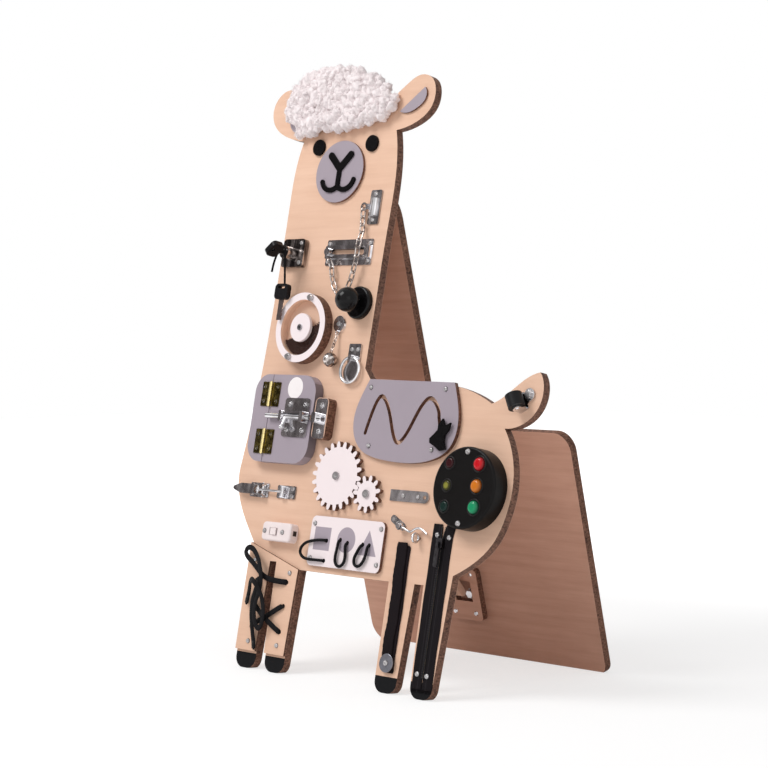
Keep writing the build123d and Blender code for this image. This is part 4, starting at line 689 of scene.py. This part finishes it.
front_heads = heads([
    (4.0, 3.4, 1.0, [(-277, 147), (-204, 135), (-267, 36.5), (-209, 36.5)]),
    (6.0, 3.4, 1.0, [(-98, 392), (38, 393), (-87, 314), (28, 314)]),
    (5.0, 3.4, 1.0, [(-167.5, 205.5), (-42, 206.5), (-42, 159.5), (-168, 159)]),
    (8.0, 3.4, 1.0, [(-275.5, 592), (-275.5, 564)]),
    (1.5, 3.4, 1.0, [(-224, 565.5), (-224, 590.5), (-144, 565.5), (-144, 590.5)]),
    (2.0, 3.4, 1.0, [(-146.5, 622), (-146.5, 658), (-14, 252.5), (13, 252.5)]),
    (3.0, 3.4, 0.8, [(-181.5, 478)]),
    (2.5, 3.4, 1.0, [(-148, 443), (-137, 443)]),
    (1.7, 3.0, 1.0, [(-307, 248.5), (-307, 238.5), (-226, 249), (-226, 238)]),
    (14.0, 3.4, 1.0, [(-256, 188), (-220, 188)]),
    (1.5, 2.8, 1.0, [(-25, 221.5), (-16.5, 217.2)]),
    (24.0, 4.0, 0.8, [(108.5, 312.5), (108.5, 222.5)]),
    (5.6, 4.0, 1.0, [(1, 38)]),
    (1.2, 3.6, 1.0, [(55, 207), (76, 205), (54, 31), (71, 30)]),
    (15.0, 4.6, 1.25, [(-231.4, 512.2), (-259.4, 429.2)]),
    (16.6, 4.2, 0.8, [(-176, 363), (-176, 328)]),
    (16.4, 2.8, 1.0, [(-296, 300), (-296, 320), (-296, 366), (-296, 386)]),
    (7.0, 5.4, 0.7, [(-138.8, 271.0), (-77.35, 250.44)]),
])
set_out("screws", front_heads, pan_head(), "front", zinc)
door_heads = heads([
    (16.4, 2.8, 1.0, [(-270.5, 300), (-270.5, 320), (-270.5, 366), (-270.5, 386)]),
    (16.6, 4.2, 0.8, [(-239, 363), (-209, 363), (-240, 328), (-210, 328)]),
])
set_out("door_screws", door_heads, pan_head(), "door", zinc)
dress(["board_screws"], zinc)

# ---- Strap washer and the caster's hexagon bolt ----
# A large dull cup washer under the strap's screw, and a plated hexagon bolt with its washer.
dull_steel = mottled(
    "dull_steel", (0.13, 0.13, 0.15), (0.30, 0.30, 0.34), 0.12, 3.0, Metallic=1.0, Roughness=0.34,
)
strap_screw = (1.0, 38.0)
washer_mesh = disc([(3.2, 5.6), (3.2, 5.75), (11.6, 5.75), (12.0, 5.5), (12.0, 4.5)], strap_screw)
add_piece("strap_washer", washer_mesh, "front", dull_steel, smooth=False)

hexagon = bmesh.new()
bolt_u, bolt_v = 176.5, 390.5
hex_rings = [(3.2, 6.0), (4.6, 6.0), (5.6, 5.4), (5.6, 2.6), (5.2, 2.6), (8.0, 2.5), (8.2, 2.2), (8.2, 2.0)]
hex_loops = []
for i, (radius, height) in enumerate(hex_rings):
    loop = []
    for k, (x, y) in enumerate(circle(48)):
        to_side = (2 * pi * k / 48 + pi / 6) % (pi / 3) - pi / 6
        reach = radius * cos(pi / 6) / cos(to_side) if 1 <= i <= 3 else radius
        loop.append(hexagon.verts.new((bolt_u + reach * x, bolt_v + reach * y, height)))
    hex_loops.append(loop)
skin(hexagon, hex_loops, caps=(0,))
add_piece("caster_bolt", closed_mesh(hexagon, "caster_bolt"), "front", zinc, smooth=False)

# ---- Bought hardware in bright nickel ----
# Pressed plates, wire and castings: lock, chain, bell, ring pull, bolt, latch, hasp, hook.
nickel = Finish("bright_nickel", Metallic=1.0)
# Its lighter and darker patches are painted reflection; the same noise also dents the surface.
nickel_dents_and_painted_reflection = nickel.noise((0.035, 0.02, 0.035), 2.0, 0.5)
nickel.paint((0.46, 0.45, 0.46), (0.80, 0.79, 0.81), nickel_dents_and_painted_reflection.above(0.5, 0.14))
nickel.set("Roughness", 0.1 + nickel.noise((0.5, 0.25, 0.5), 3.0) * 0.14)
nickel.bump(nickel_dents_and_painted_reflection, 0.35, 0.004)
dress([
    "chain_plates", "chain_slider", "bell_plate", "pull_plate",
    "pull_ring", "bolt_plate", "bolt_rod", "bolt_keeper", "latch_plates", "latch_lever", "latch_loop",
    "hook", "hasp_and_hook_plates", "caster_bracket", "stand_brackets", "stand_hinge_rear",
], nickel)

bell_nickel = Finish("bell_nickel", Metallic=1.0, Roughness=0.2)
# Its dark and bright patches are painted reflection, on the bell and the door chain.
bell_nickel.paint((0.15, 0.12, 0.11), (0.64, 0.58, 0.55), bell_nickel.noise(0.16, 2.0).above(0.5, 0.15))
dress(["jingle_bell", "door_chain"], bell_nickel)

lock_chrome = Finish("lock_chrome", Metallic=1.0)
# Its dark and light streaks are painted reflection.
lock_painted_reflection_bands = lock_chrome.noise((0.16, 0.02, 0.16), 2.0).above(0.52, 0.12)
lock_chrome.paint((0.07, 0.06, 0.058), (0.60, 0.55, 0.53), lock_painted_reflection_bands)
lock_chrome.set("Roughness", 0.12 + lock_chrome.noise((0.5, 0.3, 0.5), 3.0) * 0.15)
dress(["lock_case"], lock_chrome)

# ---- Brass butt hinges ----
# Lacquered brass leaves, their colour painted dark as a painted reflection of dark surroundings, with a
# bright rolled barrel.
brass = Finish("brass", Metallic=1.0)
brass_cloud = brass.noise(0.12, 3.0)
# The leaves' dark colour is painted reflection.
leaf_painted_reflection = brass.mix((0.06, 0.045, 0.012), (0.20, 0.155, 0.04), brass_cloud.above(0.5, 0.18))
hinge_axis = -283.5
barrel = (brass.u - hinge_axis).math("ABSOLUTE").below(2.6, 0.3) * brass.w.above(16.6, 0.2)
brass.paint(leaf_painted_reflection, (0.86, 0.71, 0.33), barrel)
brass.set("Roughness", 0.16 + brass_cloud * 0.2)
dress(["hinge_fixed_leaves", "hinge_door_leaves"], brass)

# ---- Keys ----
# Moulded black heads; the spare key's blade is nickel-plated steel.
charcoal = (0.014, 0.013, 0.014)
key_plastic = Finish("black_key_plastic", Roughness=0.32, Specular=0.12)
key_grain = key_plastic.noise(1.2, 3.0)
blade_top = 508.5
blade = key_plastic.v.below(blade_top, 0.3) * key_plastic.u.between(-296.0, -278.0)
key_plastic.paint(key_plastic.mix(soot, charcoal, key_grain), (0.20, 0.16, 0.155), blade)
key_plastic.set("Metallic", blade)
key_plastic.bump(key_grain, 0.15, 0.0003)
dress(["lock_key", "spare_key"], key_plastic)

# ---- Knob, caster roller and light housing ----
# Black mouldings: a polished phenolic knob, a rubber roller and a satin plastic housing.
phenolic = mottled("black_phenolic", (0.002, 0.002, 0.002), (0.008, 0.007, 0.008), 0.1, Specular=0.16)
phenolic.set("Roughness", 0.1 + phenolic.tone * 0.15)
dress(["knob", "knob_base"], phenolic)

rubber = mottled("black_rubber", soot, charcoal, 1.5, 3.0, Roughness=0.4, Specular=0.15)
rubber.bump(rubber.tone, 0.2, 0.0003)
dress(["caster_roller"], rubber)

moulded = mottled(
    "black_moulding", (0.002, 0.0015, 0.0015), (0.007, 0.006, 0.006), 1.8, 2.0,
    Roughness=0.34, Specular=0.12,
)
moulded.bump(moulded.tone, 0.12, 0.0003)
dress(["light_housing"], moulded)

# ---- Push buttons and signal lenses ----
# Glossy domed caps in red, amber and green, each in a dark collar, beside three unlit lenses;
# inside are the green circuit board and a steel coin cell.
for name, deep, bright in (
    ("red", (0.14, 0.002, 0.004), (0.62, 0.008, 0.016)),
    ("amber", (0.22, 0.05, 0.004), (0.66, 0.19, 0.012)),
    ("green", (0.004, 0.07, 0.035), (0.012, 0.31, 0.13)),
):
    cap = Finish(name + "_cap", Roughness=0.16, Specular=0.25)
    crown = cap.w.above(27.2, 1.8)
    cap.paint(deep, bright, crown * 0.7 + cap.noise(0.25, 3.0) * 0.3)
    dress([name + "_button"], cap)

lens = Finish("dark_lenses", Roughness=0.12, Specular=0.2)
lens_core = lens.reach(81.0, 268.5).below(14.0, 9.0)
lens_colour = lens.mix((0.045, 0.042, 0.008), (0.24, 0.23, 0.04), lens_core)
lens_colour = lens.mix(lens_colour, (0.035, 0.004, 0.006), lens.v.above(283.0, 1.0))
lens_colour = lens.mix(lens_colour, (0.006, 0.022, 0.018), lens.v.below(255.0, 1.0))
lens.paint(lens_colour, (0.02, 0.11, 0.05), lens.w.below(20.0, 0.5))
dress(["light_board"], lens)

collar_finish = mottled(
    "black_collar", (0.006, 0.005, 0.005), (0.018, 0.016, 0.016), 0.6, Roughness=0.3, Specular=0.15,
)
collars = bmesh.new()
button_spots = [(131, 298, 9.0), (131, 270.5, 9.0), (131, 244, 9.0)]
lens_spots = [(81, 297, 6.9), (81, 268.5, 6.9), (81, 242, 6.9)]
for u, v, radius in button_spots + lens_spots:
    part = disc([
        (radius, 24.0), (radius, 24.9), (radius + 0.5, 25.4), (radius + 1.5, 25.2), (radius + 2.0, 24.0),
    ], (u, v))
    collars.from_mesh(part)
    bpy.data.meshes.remove(part)
collar_mesh = plain_mesh(collars, "button_collars")
add_piece("button_collars", collar_mesh, "front", collar_finish)

cell = mottled("cell_steel", (0.45, 0.45, 0.46), (0.7, 0.7, 0.71), 0.4, Metallic=1.0, Roughness=0.3)
dress(["battery_pack"], cell)

# ---- Switch ----
# A white moulded surface box with a small rocker and a cable slot in its right end, whose dark opening is a
# near-black patch of painted shade.
switch = Finish("white_switch_plastic", Roughness=0.32, Specular=0.25)
switch_colour = switch.mix((0.80, 0.70, 0.69), (0.88, 0.78, 0.77), switch.noise(0.05, 3.0))
# The slot's dark opening is painted shade.
cable_slot_painted_shade = switch.v.between(184.5, 191.5, 0.4) * switch.w.between(2.5, 9.0, 0.4)
switch.paint(switch_colour, (0.02, 0.016, 0.014), switch.u.above(-204.6, 0.1) * cable_slot_painted_shade)
dress(["switch_base", "switch_rocker"], switch)

# ---- Spinner ----
# A white hub turns a clear window over a shallow tray of small dark seeds.
hub = Finish("white_hub_paint", Specular=0.4)
hub_reach = hub.reach(spinner_u, spinner_v)
hub_bolt = hub_reach.below(4.4 ** 2, 1.2)
hub_white = hub.mix((0.82, 0.73, 0.74), warm_white, hub.noise(0.05, 3.0))
hub_steel = hub.mix((0.5, 0.5, 0.52), (0.12, 0.12, 0.13), hub_reach.below(3.4, 0.8))
hub.paint(hub_white, hub_steel, hub_bolt)
hub.set("Metallic", hub_bolt)
hub.set("Roughness", 0.45 - hub_bolt * 0.2)
dress(["spinner_hub"], hub)

clear = mottled(
    "clear_window", (0.05, 0.05, 0.05), (0.12, 0.12, 0.12), 0.2, 5.0, Roughness=0.04, IOR=1.49,
)
clear.set("Alpha", 0.035 + clear.tone * 0.03)
dress(["spinner_window"], clear)

seed_finish = mottled(
    "dark_seeds", (0.02, 0.006, 0.005), (0.13, 0.05, 0.035), 0.4, 2.0,
    Roughness=0.45, Specular=0.15,
)
seed_random = Random(5)
heap_tilt = radians(22)
seeds = []
for row in range(40):
    for column in range(40):
        x = (column - 19.5) * 2.05 + (row % 2) * 1.0
        y = (row - 19.5) * 1.8
        if not 7.6 < hypot(x, y) < 38.4:
            continue
        level = y * cos(heap_tilt) - x * sin(heap_tilt)
        if level > -3.0 + seed_random.uniform(-1.2, 0.8):
            continue
        for layer in (3.3, 5.2, 6.9):
            place = (
                spinner_u + x + seed_random.uniform(-0.5, 0.5),
                spinner_v + y + seed_random.uniform(-0.5, 0.5),
                layer + seed_random.uniform(-0.3, 0.3),
            )
            size = seed_random.uniform(0.95, 1.2)
            turn = (seed_random.uniform(0, 6), seed_random.uniform(0, 6), 0.0)
            seeds.append((place, turn, (size, size * 0.85, size)))
seed_shape = bmesh.new()
bmesh.ops.create_icosphere(seed_shape, subdivisions=1, radius=1.0)
seed_mesh = plain_mesh(seed_shape, "seed")
set_out("loose_seeds", seeds, seed_mesh, "front", seed_finish, "spinner_beads")

# ---- Wool ----
# Washed white fleece glued over the forehead: soft round clumps, with short curled fibres
# standing out of them, over a thin mat that hides the board between them.
wool = Finish("white_fleece", Roughness=0.95, Specular=0.05, Sheen_Weight=0.2, Sheen_Roughness=0.6)
fibre = wool.noise(0.9, 4.0, 0.7)
wool.paint((0.80, 0.715, 0.72), (0.97, 0.90, 0.905), wool.noise(0.07, 3.0) * 0.7 + fibre * 0.5)
wool.bump(fibre, 0.5, 0.001)
wool_outline = [
    (-348, 792), (-340, 820), (-306, 839), (-262, 845), (-215, 841), (-170, 826), (-134, 800),
    (-126, 776), (-138, 762), (-178, 755), (-225, 751), (-270, 750), (-298, 745), (-314, 743),
    (-319, 752), (-322, 765), (-334, 768), (-346, 772),
]


def inside_by(u, v):
    """How far a place is inside the fleece's outline, in millimetres; negative outside."""
    nearest = 1e9
    crossings = 0
    for (u1, v1), (u2, v2) in zip(wool_outline, wool_outline[1:] + wool_outline[:1]):
        share = ((u - u1) * (u2 - u1) + (v - v1) * (v2 - v1)) / ((u2 - u1) ** 2 + (v2 - v1) ** 2)
        share = min(max(share, 0.0), 1.0)
        nearest = min(nearest, hypot(u - u1 - share * (u2 - u1), v - v1 - share * (v2 - v1)))
        if (v1 > v) != (v2 > v) and u < (u2 - u1) * (v - v1) / (v2 - v1) + u1:
            crossings += 1
    return nearest if crossings % 2 else -nearest


def fleece_height(u, v):
    """How far the fleece stands off the board."""
    swell = 1 - (1 - min(max(inside_by(u, v), 0.0), 20.0) / 20.0) ** 2
    return 4.0 + 10.0 * swell ** 0.5


clump_shape = bmesh.new()
bmesh.ops.create_icosphere(clump_shape, subdivisions=4, radius=1.0)
for vertex in clump_shape.verts:
    place = vertex.co.copy()
    swell = 0.26 * noise.noise(place * 1.5) + 0.16 * noise.noise(place * 3.4)
    swell += 0.06 * noise.noise(place * 8.0)
    vertex.co = place * (1.0 + swell)
wool_random = Random(23)
clumps = []
tries = 0
while len(clumps) < 150 and tries < 60000:
    tries += 1
    u = wool_random.uniform(-348, -126)
    v = wool_random.uniform(743, 845)
    size = wool_random.uniform(6.5, 10.5)
    gap = 9.0 if tries < 30000 else 7.0
    if inside_by(u, v) < size * 0.7 - 1.0:
        continue
    if any(hypot(u - other[0][0], v - other[0][1]) < gap for other in clumps):
        continue
    w = max(fleece_height(u, v) - size * 0.35 + wool_random.uniform(-2.0, 2.5), size * 0.62)
    turn = [wool_random.uniform(0, 6.3) for _ in range(3)]
    clumps.append(((u, v, w), turn, (size * 1.12, size, size * 0.92)))
clump_mesh = plain_mesh(clump_shape, "clump")
wool_clumps = set_out("wool_clumps", clumps, clump_mesh, "front", wool, "wool_pad")


def curled_fibre(turns=0.8, spread=2.1, long=8.0, steps=7, thick=0.34):
    """One short curled fibre, pointed at both ends."""
    shape = bmesh.new()
    loops = []
    for i in range(steps + 1):
        share = i / steps
        angle = 2 * pi * turns * share
        middle = Vector((spread * cos(angle), spread * sin(angle), long * share))
        size = thick * (0.35 + 0.65 * sin(pi * share))
        loops.append([shape.verts.new(middle + Vector((x, y, 0)) * size) for x, y in circle(3)])
    skin(shape, loops, caps=(0, -1))
    return closed_mesh(shape, "curled_fibre")
fibres = []
for (u, v, w), turn, (size, _, _) in clumps:
    for _ in range(24):
        lean = wool_random.uniform(0.0, 1.5)
        around = wool_random.uniform(0, 2 * pi)
        out = Vector((sin(lean) * cos(around), sin(lean) * sin(around), cos(lean)))
        foot = Vector((u, v, w)) + out * (size * 0.72)
        turned = out.to_track_quat("Z", "Y").to_euler()
        long = wool_random.uniform(0.5, 0.95)
        fibres.append((tuple(foot), tuple(turned), (long, long, long * 0.7)))
set_out("wool_fibres", fibres, curled_fibre(), "front", wool)
mat = bmesh.new()
columns, rows = 56, 25
grid = {}
for i in range(columns + 1):
    for j in range(rows + 1):
        u = -346 + 219 * i / columns
        v = 745 + 98 * j / rows
        if inside_by(u, v) > 3.0:
            grid[i, j] = mat.verts.new((u, v, fleece_height(u, v) - 1.0))
for i in range(columns):
    for j in range(rows):
        corners = [(i, j), (i + 1, j), (i + 1, j + 1), (i, j + 1)]
        if all(corner in grid for corner in corners):
            mat.faces.new([grid[corner] for corner in corners])
wool_mat = add_piece("wool_mat", plain_mesh(mat, "wool_mat"), "front", wool)
thicken = wool_mat.modifiers.new("thickness", "SOLIDIFY")
thicken.thickness = 0.003
thicken.offset = -1.0

# ---- Hook-and-loop strap ----
# Black loop tape lying over its hook tape on the third leg, its soft edges a little wavy,
# held at the foot by one screw and a cup washer.
fuzzy = Finish("loop_tape", Roughness=0.95, Specular=0.05)
tape_loops = fuzzy.noise(1.6, 4.0, 0.75)
fuzzy.paint((0.004, 0.003, 0.004), (0.026, 0.02, 0.022), tape_loops)
fuzzy.bump(tape_loops, 0.9, 0.0008)


def tape_mesh(sections):
    """A tape along the board: (v, left, right, bottom, top) sections, square-cornered but soft."""
    shape = bmesh.new()
    rings = []
    for v, left, right, bottom, top in sections:
        rings.append([
            shape.verts.new((
                (left + right) / 2 + copysign(abs(x) ** 0.25, x) * (right - left) / 2, v,
                (bottom + top) / 2 + copysign(abs(y) ** 0.5, y) * (top - bottom) / 2,
            ))
            for x, y in circle(20)
        ])
    skin(shape, rings, caps=(0, -1))
    return closed_mesh(shape, "tape")


def wavy(start, stop, left, right, bottom, top, seed, wave=0.45):
    """Sections of a tape whose edges and surface wander a little."""
    drift = Random(seed)
    phase = [drift.uniform(0, 6.3) for _ in range(4)]
    count = int((stop - start) / 2.5)
    sections = []
    for i in range(count + 1):
        v = start + (stop - start) * i / count
        slow = wave * (sin(v * 0.055 + phase[0]) + 0.5 * sin(v * 0.16 + phase[1]))
        edge = 0.3 * wave * sin(v * 0.7 + phase[2])
        lift = 0.35 * wave * (1 + sin(v * 0.07 + phase[3]))
        ease = 0.86 if i in (0, count) else 1.0
        middle, half = (left + right) / 2 + slow, (right - left) / 2 * ease
        sections.append((v, middle - half + edge, middle + half - edge * 0.6, bottom, top + lift))
    return sections


hook_sections = wavy(26, 189, -7.0, 11.6, 0.0, 2.0, 3)
loop_sections = wavy(30.5, 193, -9.6, 8.2, 2.0, 4.2, 8, 0.9)
add_piece("hook_tape", tape_mesh(hook_sections), "front", fuzzy)
add_piece("loop_tape", tape_mesh(loop_sections), "front", fuzzy, "velcro_strap")
rivet_mesh = disc([(0, 5.6), (3.2, 5.6), (4.4, 5.0), (4.4, -8.0), (0.1, -8.2)], strap_screw)
add_piece("strap_rivet", rivet_mesh, "front", zinc, smooth=False)

# ---- Zip fastener ----
# Two black woven tapes screwed down at both ends, open above the slider, each carrying a row
# of dark moulded teeth along its inner edge; the lower end is frayed over the hoof.
tape = Finish("zip_tape", Roughness=0.85, Specular=0.08)
weave = (tape.u * 5.2).math("SINE") * (tape.v * 4.1).math("SINE")
seams = [(tape.u - seam).math("ABSOLUTE").below(0.5, 0.3) for seam in (57.0, 71.0)]
tape_colour = tape.mix((0.004, 0.003, 0.004), (0.018, 0.015, 0.017), weave * 0.5 + 0.5)
tape.paint(tape_colour, (0.03, 0.027, 0.03), (seams[0] + seams[1]) * 0.7)
tape.bump(weave, 0.4, 0.0004)
left_tape = [(v, 46.2 + 0.3 * sin(v * 0.09), 63.4, 0.0, 1.2) for v in range(12, 207, 3)]
left_tape += [(209, 46.2, 63.0, 0.0, 1.3), (214, 46.4, 62.2, 0.0, 1.5), (221, 46.8, 61.5, 0.0, 1.5)]
right_tape = [(12 + 3 * i, 64.6, 81.6 + 0.3 * sin(i * 0.31), 0.0, 1.2) for i in range(65)]
right_tape += [(209, 65.6, 82.4, 0.0, 1.3), (214, 67.0, 83.6, 0.0, 1.5), (220.5, 69.0, 85.0, 0.0, 1.5)]
add_piece("zip_tape_left", tape_mesh(left_tape), "front", tape, "zipper_tapes")
add_piece("zip_tape_right", tape_mesh(right_tape), "front", tape)

fray_random = Random(31)
frayed = []
for i in range(150):
    u = 46.5 + 35.0 * (i + fray_random.random()) / 150
    lean = fray_random.uniform(1.2, 1.75)
    long = fray_random.uniform(0.5, 1.0)
    turn = (lean, 0.0, fray_random.uniform(-0.35, 0.35))
    frayed.append(((u, 13.0, 0.5), turn, (long * 0.5, long * 0.5, long)))
set_out("frayed_ends", frayed, curled_fibre(0.3, 0.4, 6.0, 4, 0.4), "front", tape)

teeth_finish = mottled(
    "zip_teeth", (0.008, 0.007, 0.008), (0.03, 0.028, 0.03), 0.4, Roughness=0.4, Specular=0.3,
)
tooth_shape = bmesh.new()
bmesh.ops.create_cube(tooth_shape, size=2.0)
bmesh.ops.bevel(tooth_shape, geom=tooth_shape.edges[:], offset=0.35, segments=2, affect="EDGES")
teeth = []
for row in range(116):
    side = -1 if row % 2 else 1
    v = 26.5 + 1.5 * row
    spread = max(0.0, v - 203.0) * 0.12
    teeth.append(((64.0 + side * (1.0 + spread), v, 1.5), (0.0, 0.0, 0.0), (1.3, 0.62, 0.9)))
for i in range(9):
    teeth.append(((62.6 - 0.05 * i, 201.0 + 2.0 * i, 1.5), (0.0, 0.0, 0.0), (0.9, 0.8, 0.9)))
    teeth.append(((65.6 + 0.38 * i, 201.0 + 2.0 * i, 1.5), (0.0, 0.0, -0.2), (0.9, 0.8, 0.9)))
set_out("zip_teeth", teeth, plain_mesh(tooth_shape, "tooth"), "front", teeth_finish)

gunmetal = mottled("slider_gunmetal", (0.02, 0.018, 0.02), (0.10, 0.095, 0.10), 0.3, 3.0, Metallic=1.0)
gunmetal.set("Roughness", 0.25 + gunmetal.tone * 0.2)
dress(["zipper_slider"], gunmetal)

# ---- Floor, lamps and background ----
# A white seamless floor that keeps the soft shadows; one broad lamp high on the left, a weak
# one on the right, and a dark card on the left that only the metal plates mirror.


def flat_stage(name, half_width, half_depth, height, axes, finish):
    """A flat rectangle that dresses the set and isn't part of the object."""
    corners = [(x * half_width, y * half_depth, height) for x, y in ((-1, -1), (1, -1), (1, 1), (-1, 1))]
    mesh = bpy.data.meshes.new(name)
    mesh.from_pydata(corners, [], [(0, 1, 2, 3)])
    mesh.transform(axes)
    mesh.materials.append(finish.material)
    sheet = new_object(name, mesh)
    return sheet


in_metres = {"origin": (0.0, 0.0, 0.0), "turn": 0.0, "unit": 1.0}
floor_finish = Finish("pale_floor", Roughness=0.9, Specular=0.1, **in_metres)
away = floor_finish.reach(0.0, 0.0).above(1.1, 0.75)
floor_seen = floor_finish.looked_at()
floor_bounce = floor_finish.mix((0.92, 0.92, 0.92), (0.95, 0.95, 0.95), floor_finish.noise(3.0))
floor_finish.paint(floor_bounce, (0.42, 0.42, 0.42), floor_seen)
floor_glow = floor_finish.mix((0.62, 0.62, 0.62), (1.0, 1.0, 1.0), away)
floor_finish.set("Emission Color", floor_finish.mix((0.0, 0.0, 0.0), floor_glow, floor_seen))
floor_finish.set("Emission Strength", 1.0)
flat_stage("floor", 6.0, 6.0, -0.0005, Matrix(), floor_finish)

card_finish = Finish("dark_card", Roughness=0.9, Specular=0.0, **in_metres)
card_bands = card_finish.noise((2.4, 2.4, 0.5), 2.0).above(0.52, 0.12)
card_finish.paint((0.12, 0.10, 0.10), (0.85, 0.80, 0.79), card_bands)
card_stand = Vector((-1.75, -1.65, 1.0))
card_turn = (Vector((0.0, -0.1, 0.4)) - card_stand).to_track_quat("Z", "Y").to_matrix().to_4x4()
card = flat_stage("dark_card", 0.75, 0.7, 0.0, Matrix.Translation(card_stand) @ card_turn, card_finish)
card.visible_camera = False
card.visible_diffuse = False
card.visible_shadow = False


def lamp(name, place, size, power):
    """A soft square lamp aimed at the middle of the board."""
    light = bpy.data.lights.new(name, "AREA")
    light.shape = "SQUARE"
    light.size = size
    light.energy = power
    holder = new_object(name, light)
    holder.location = place
    holder.rotation_euler = (look_at - Vector(place)).to_track_quat("-Z", "Y").to_euler()


lamp("main_lamp", (-1.2, -2.0, 2.9), 1.5, 70.0)
lamp("side_lamp", (2.4, -1.6, 1.2), 1.6, 7.0)

world = bpy.data.worlds.new("studio")
bpy.context.scene.world = world
world.use_nodes = True
sky = Nodes(world.node_tree)
sky_colour = sky.mix((0.50, 0.49, 0.49), (1.0, 1.0, 1.0), sky.looked_at())
sky.tree.links.new(sky_colour.socket, sky.tree.nodes["Background"].inputs["Color"])

bpy.context.scene.view_settings.view_transform = "Standard"
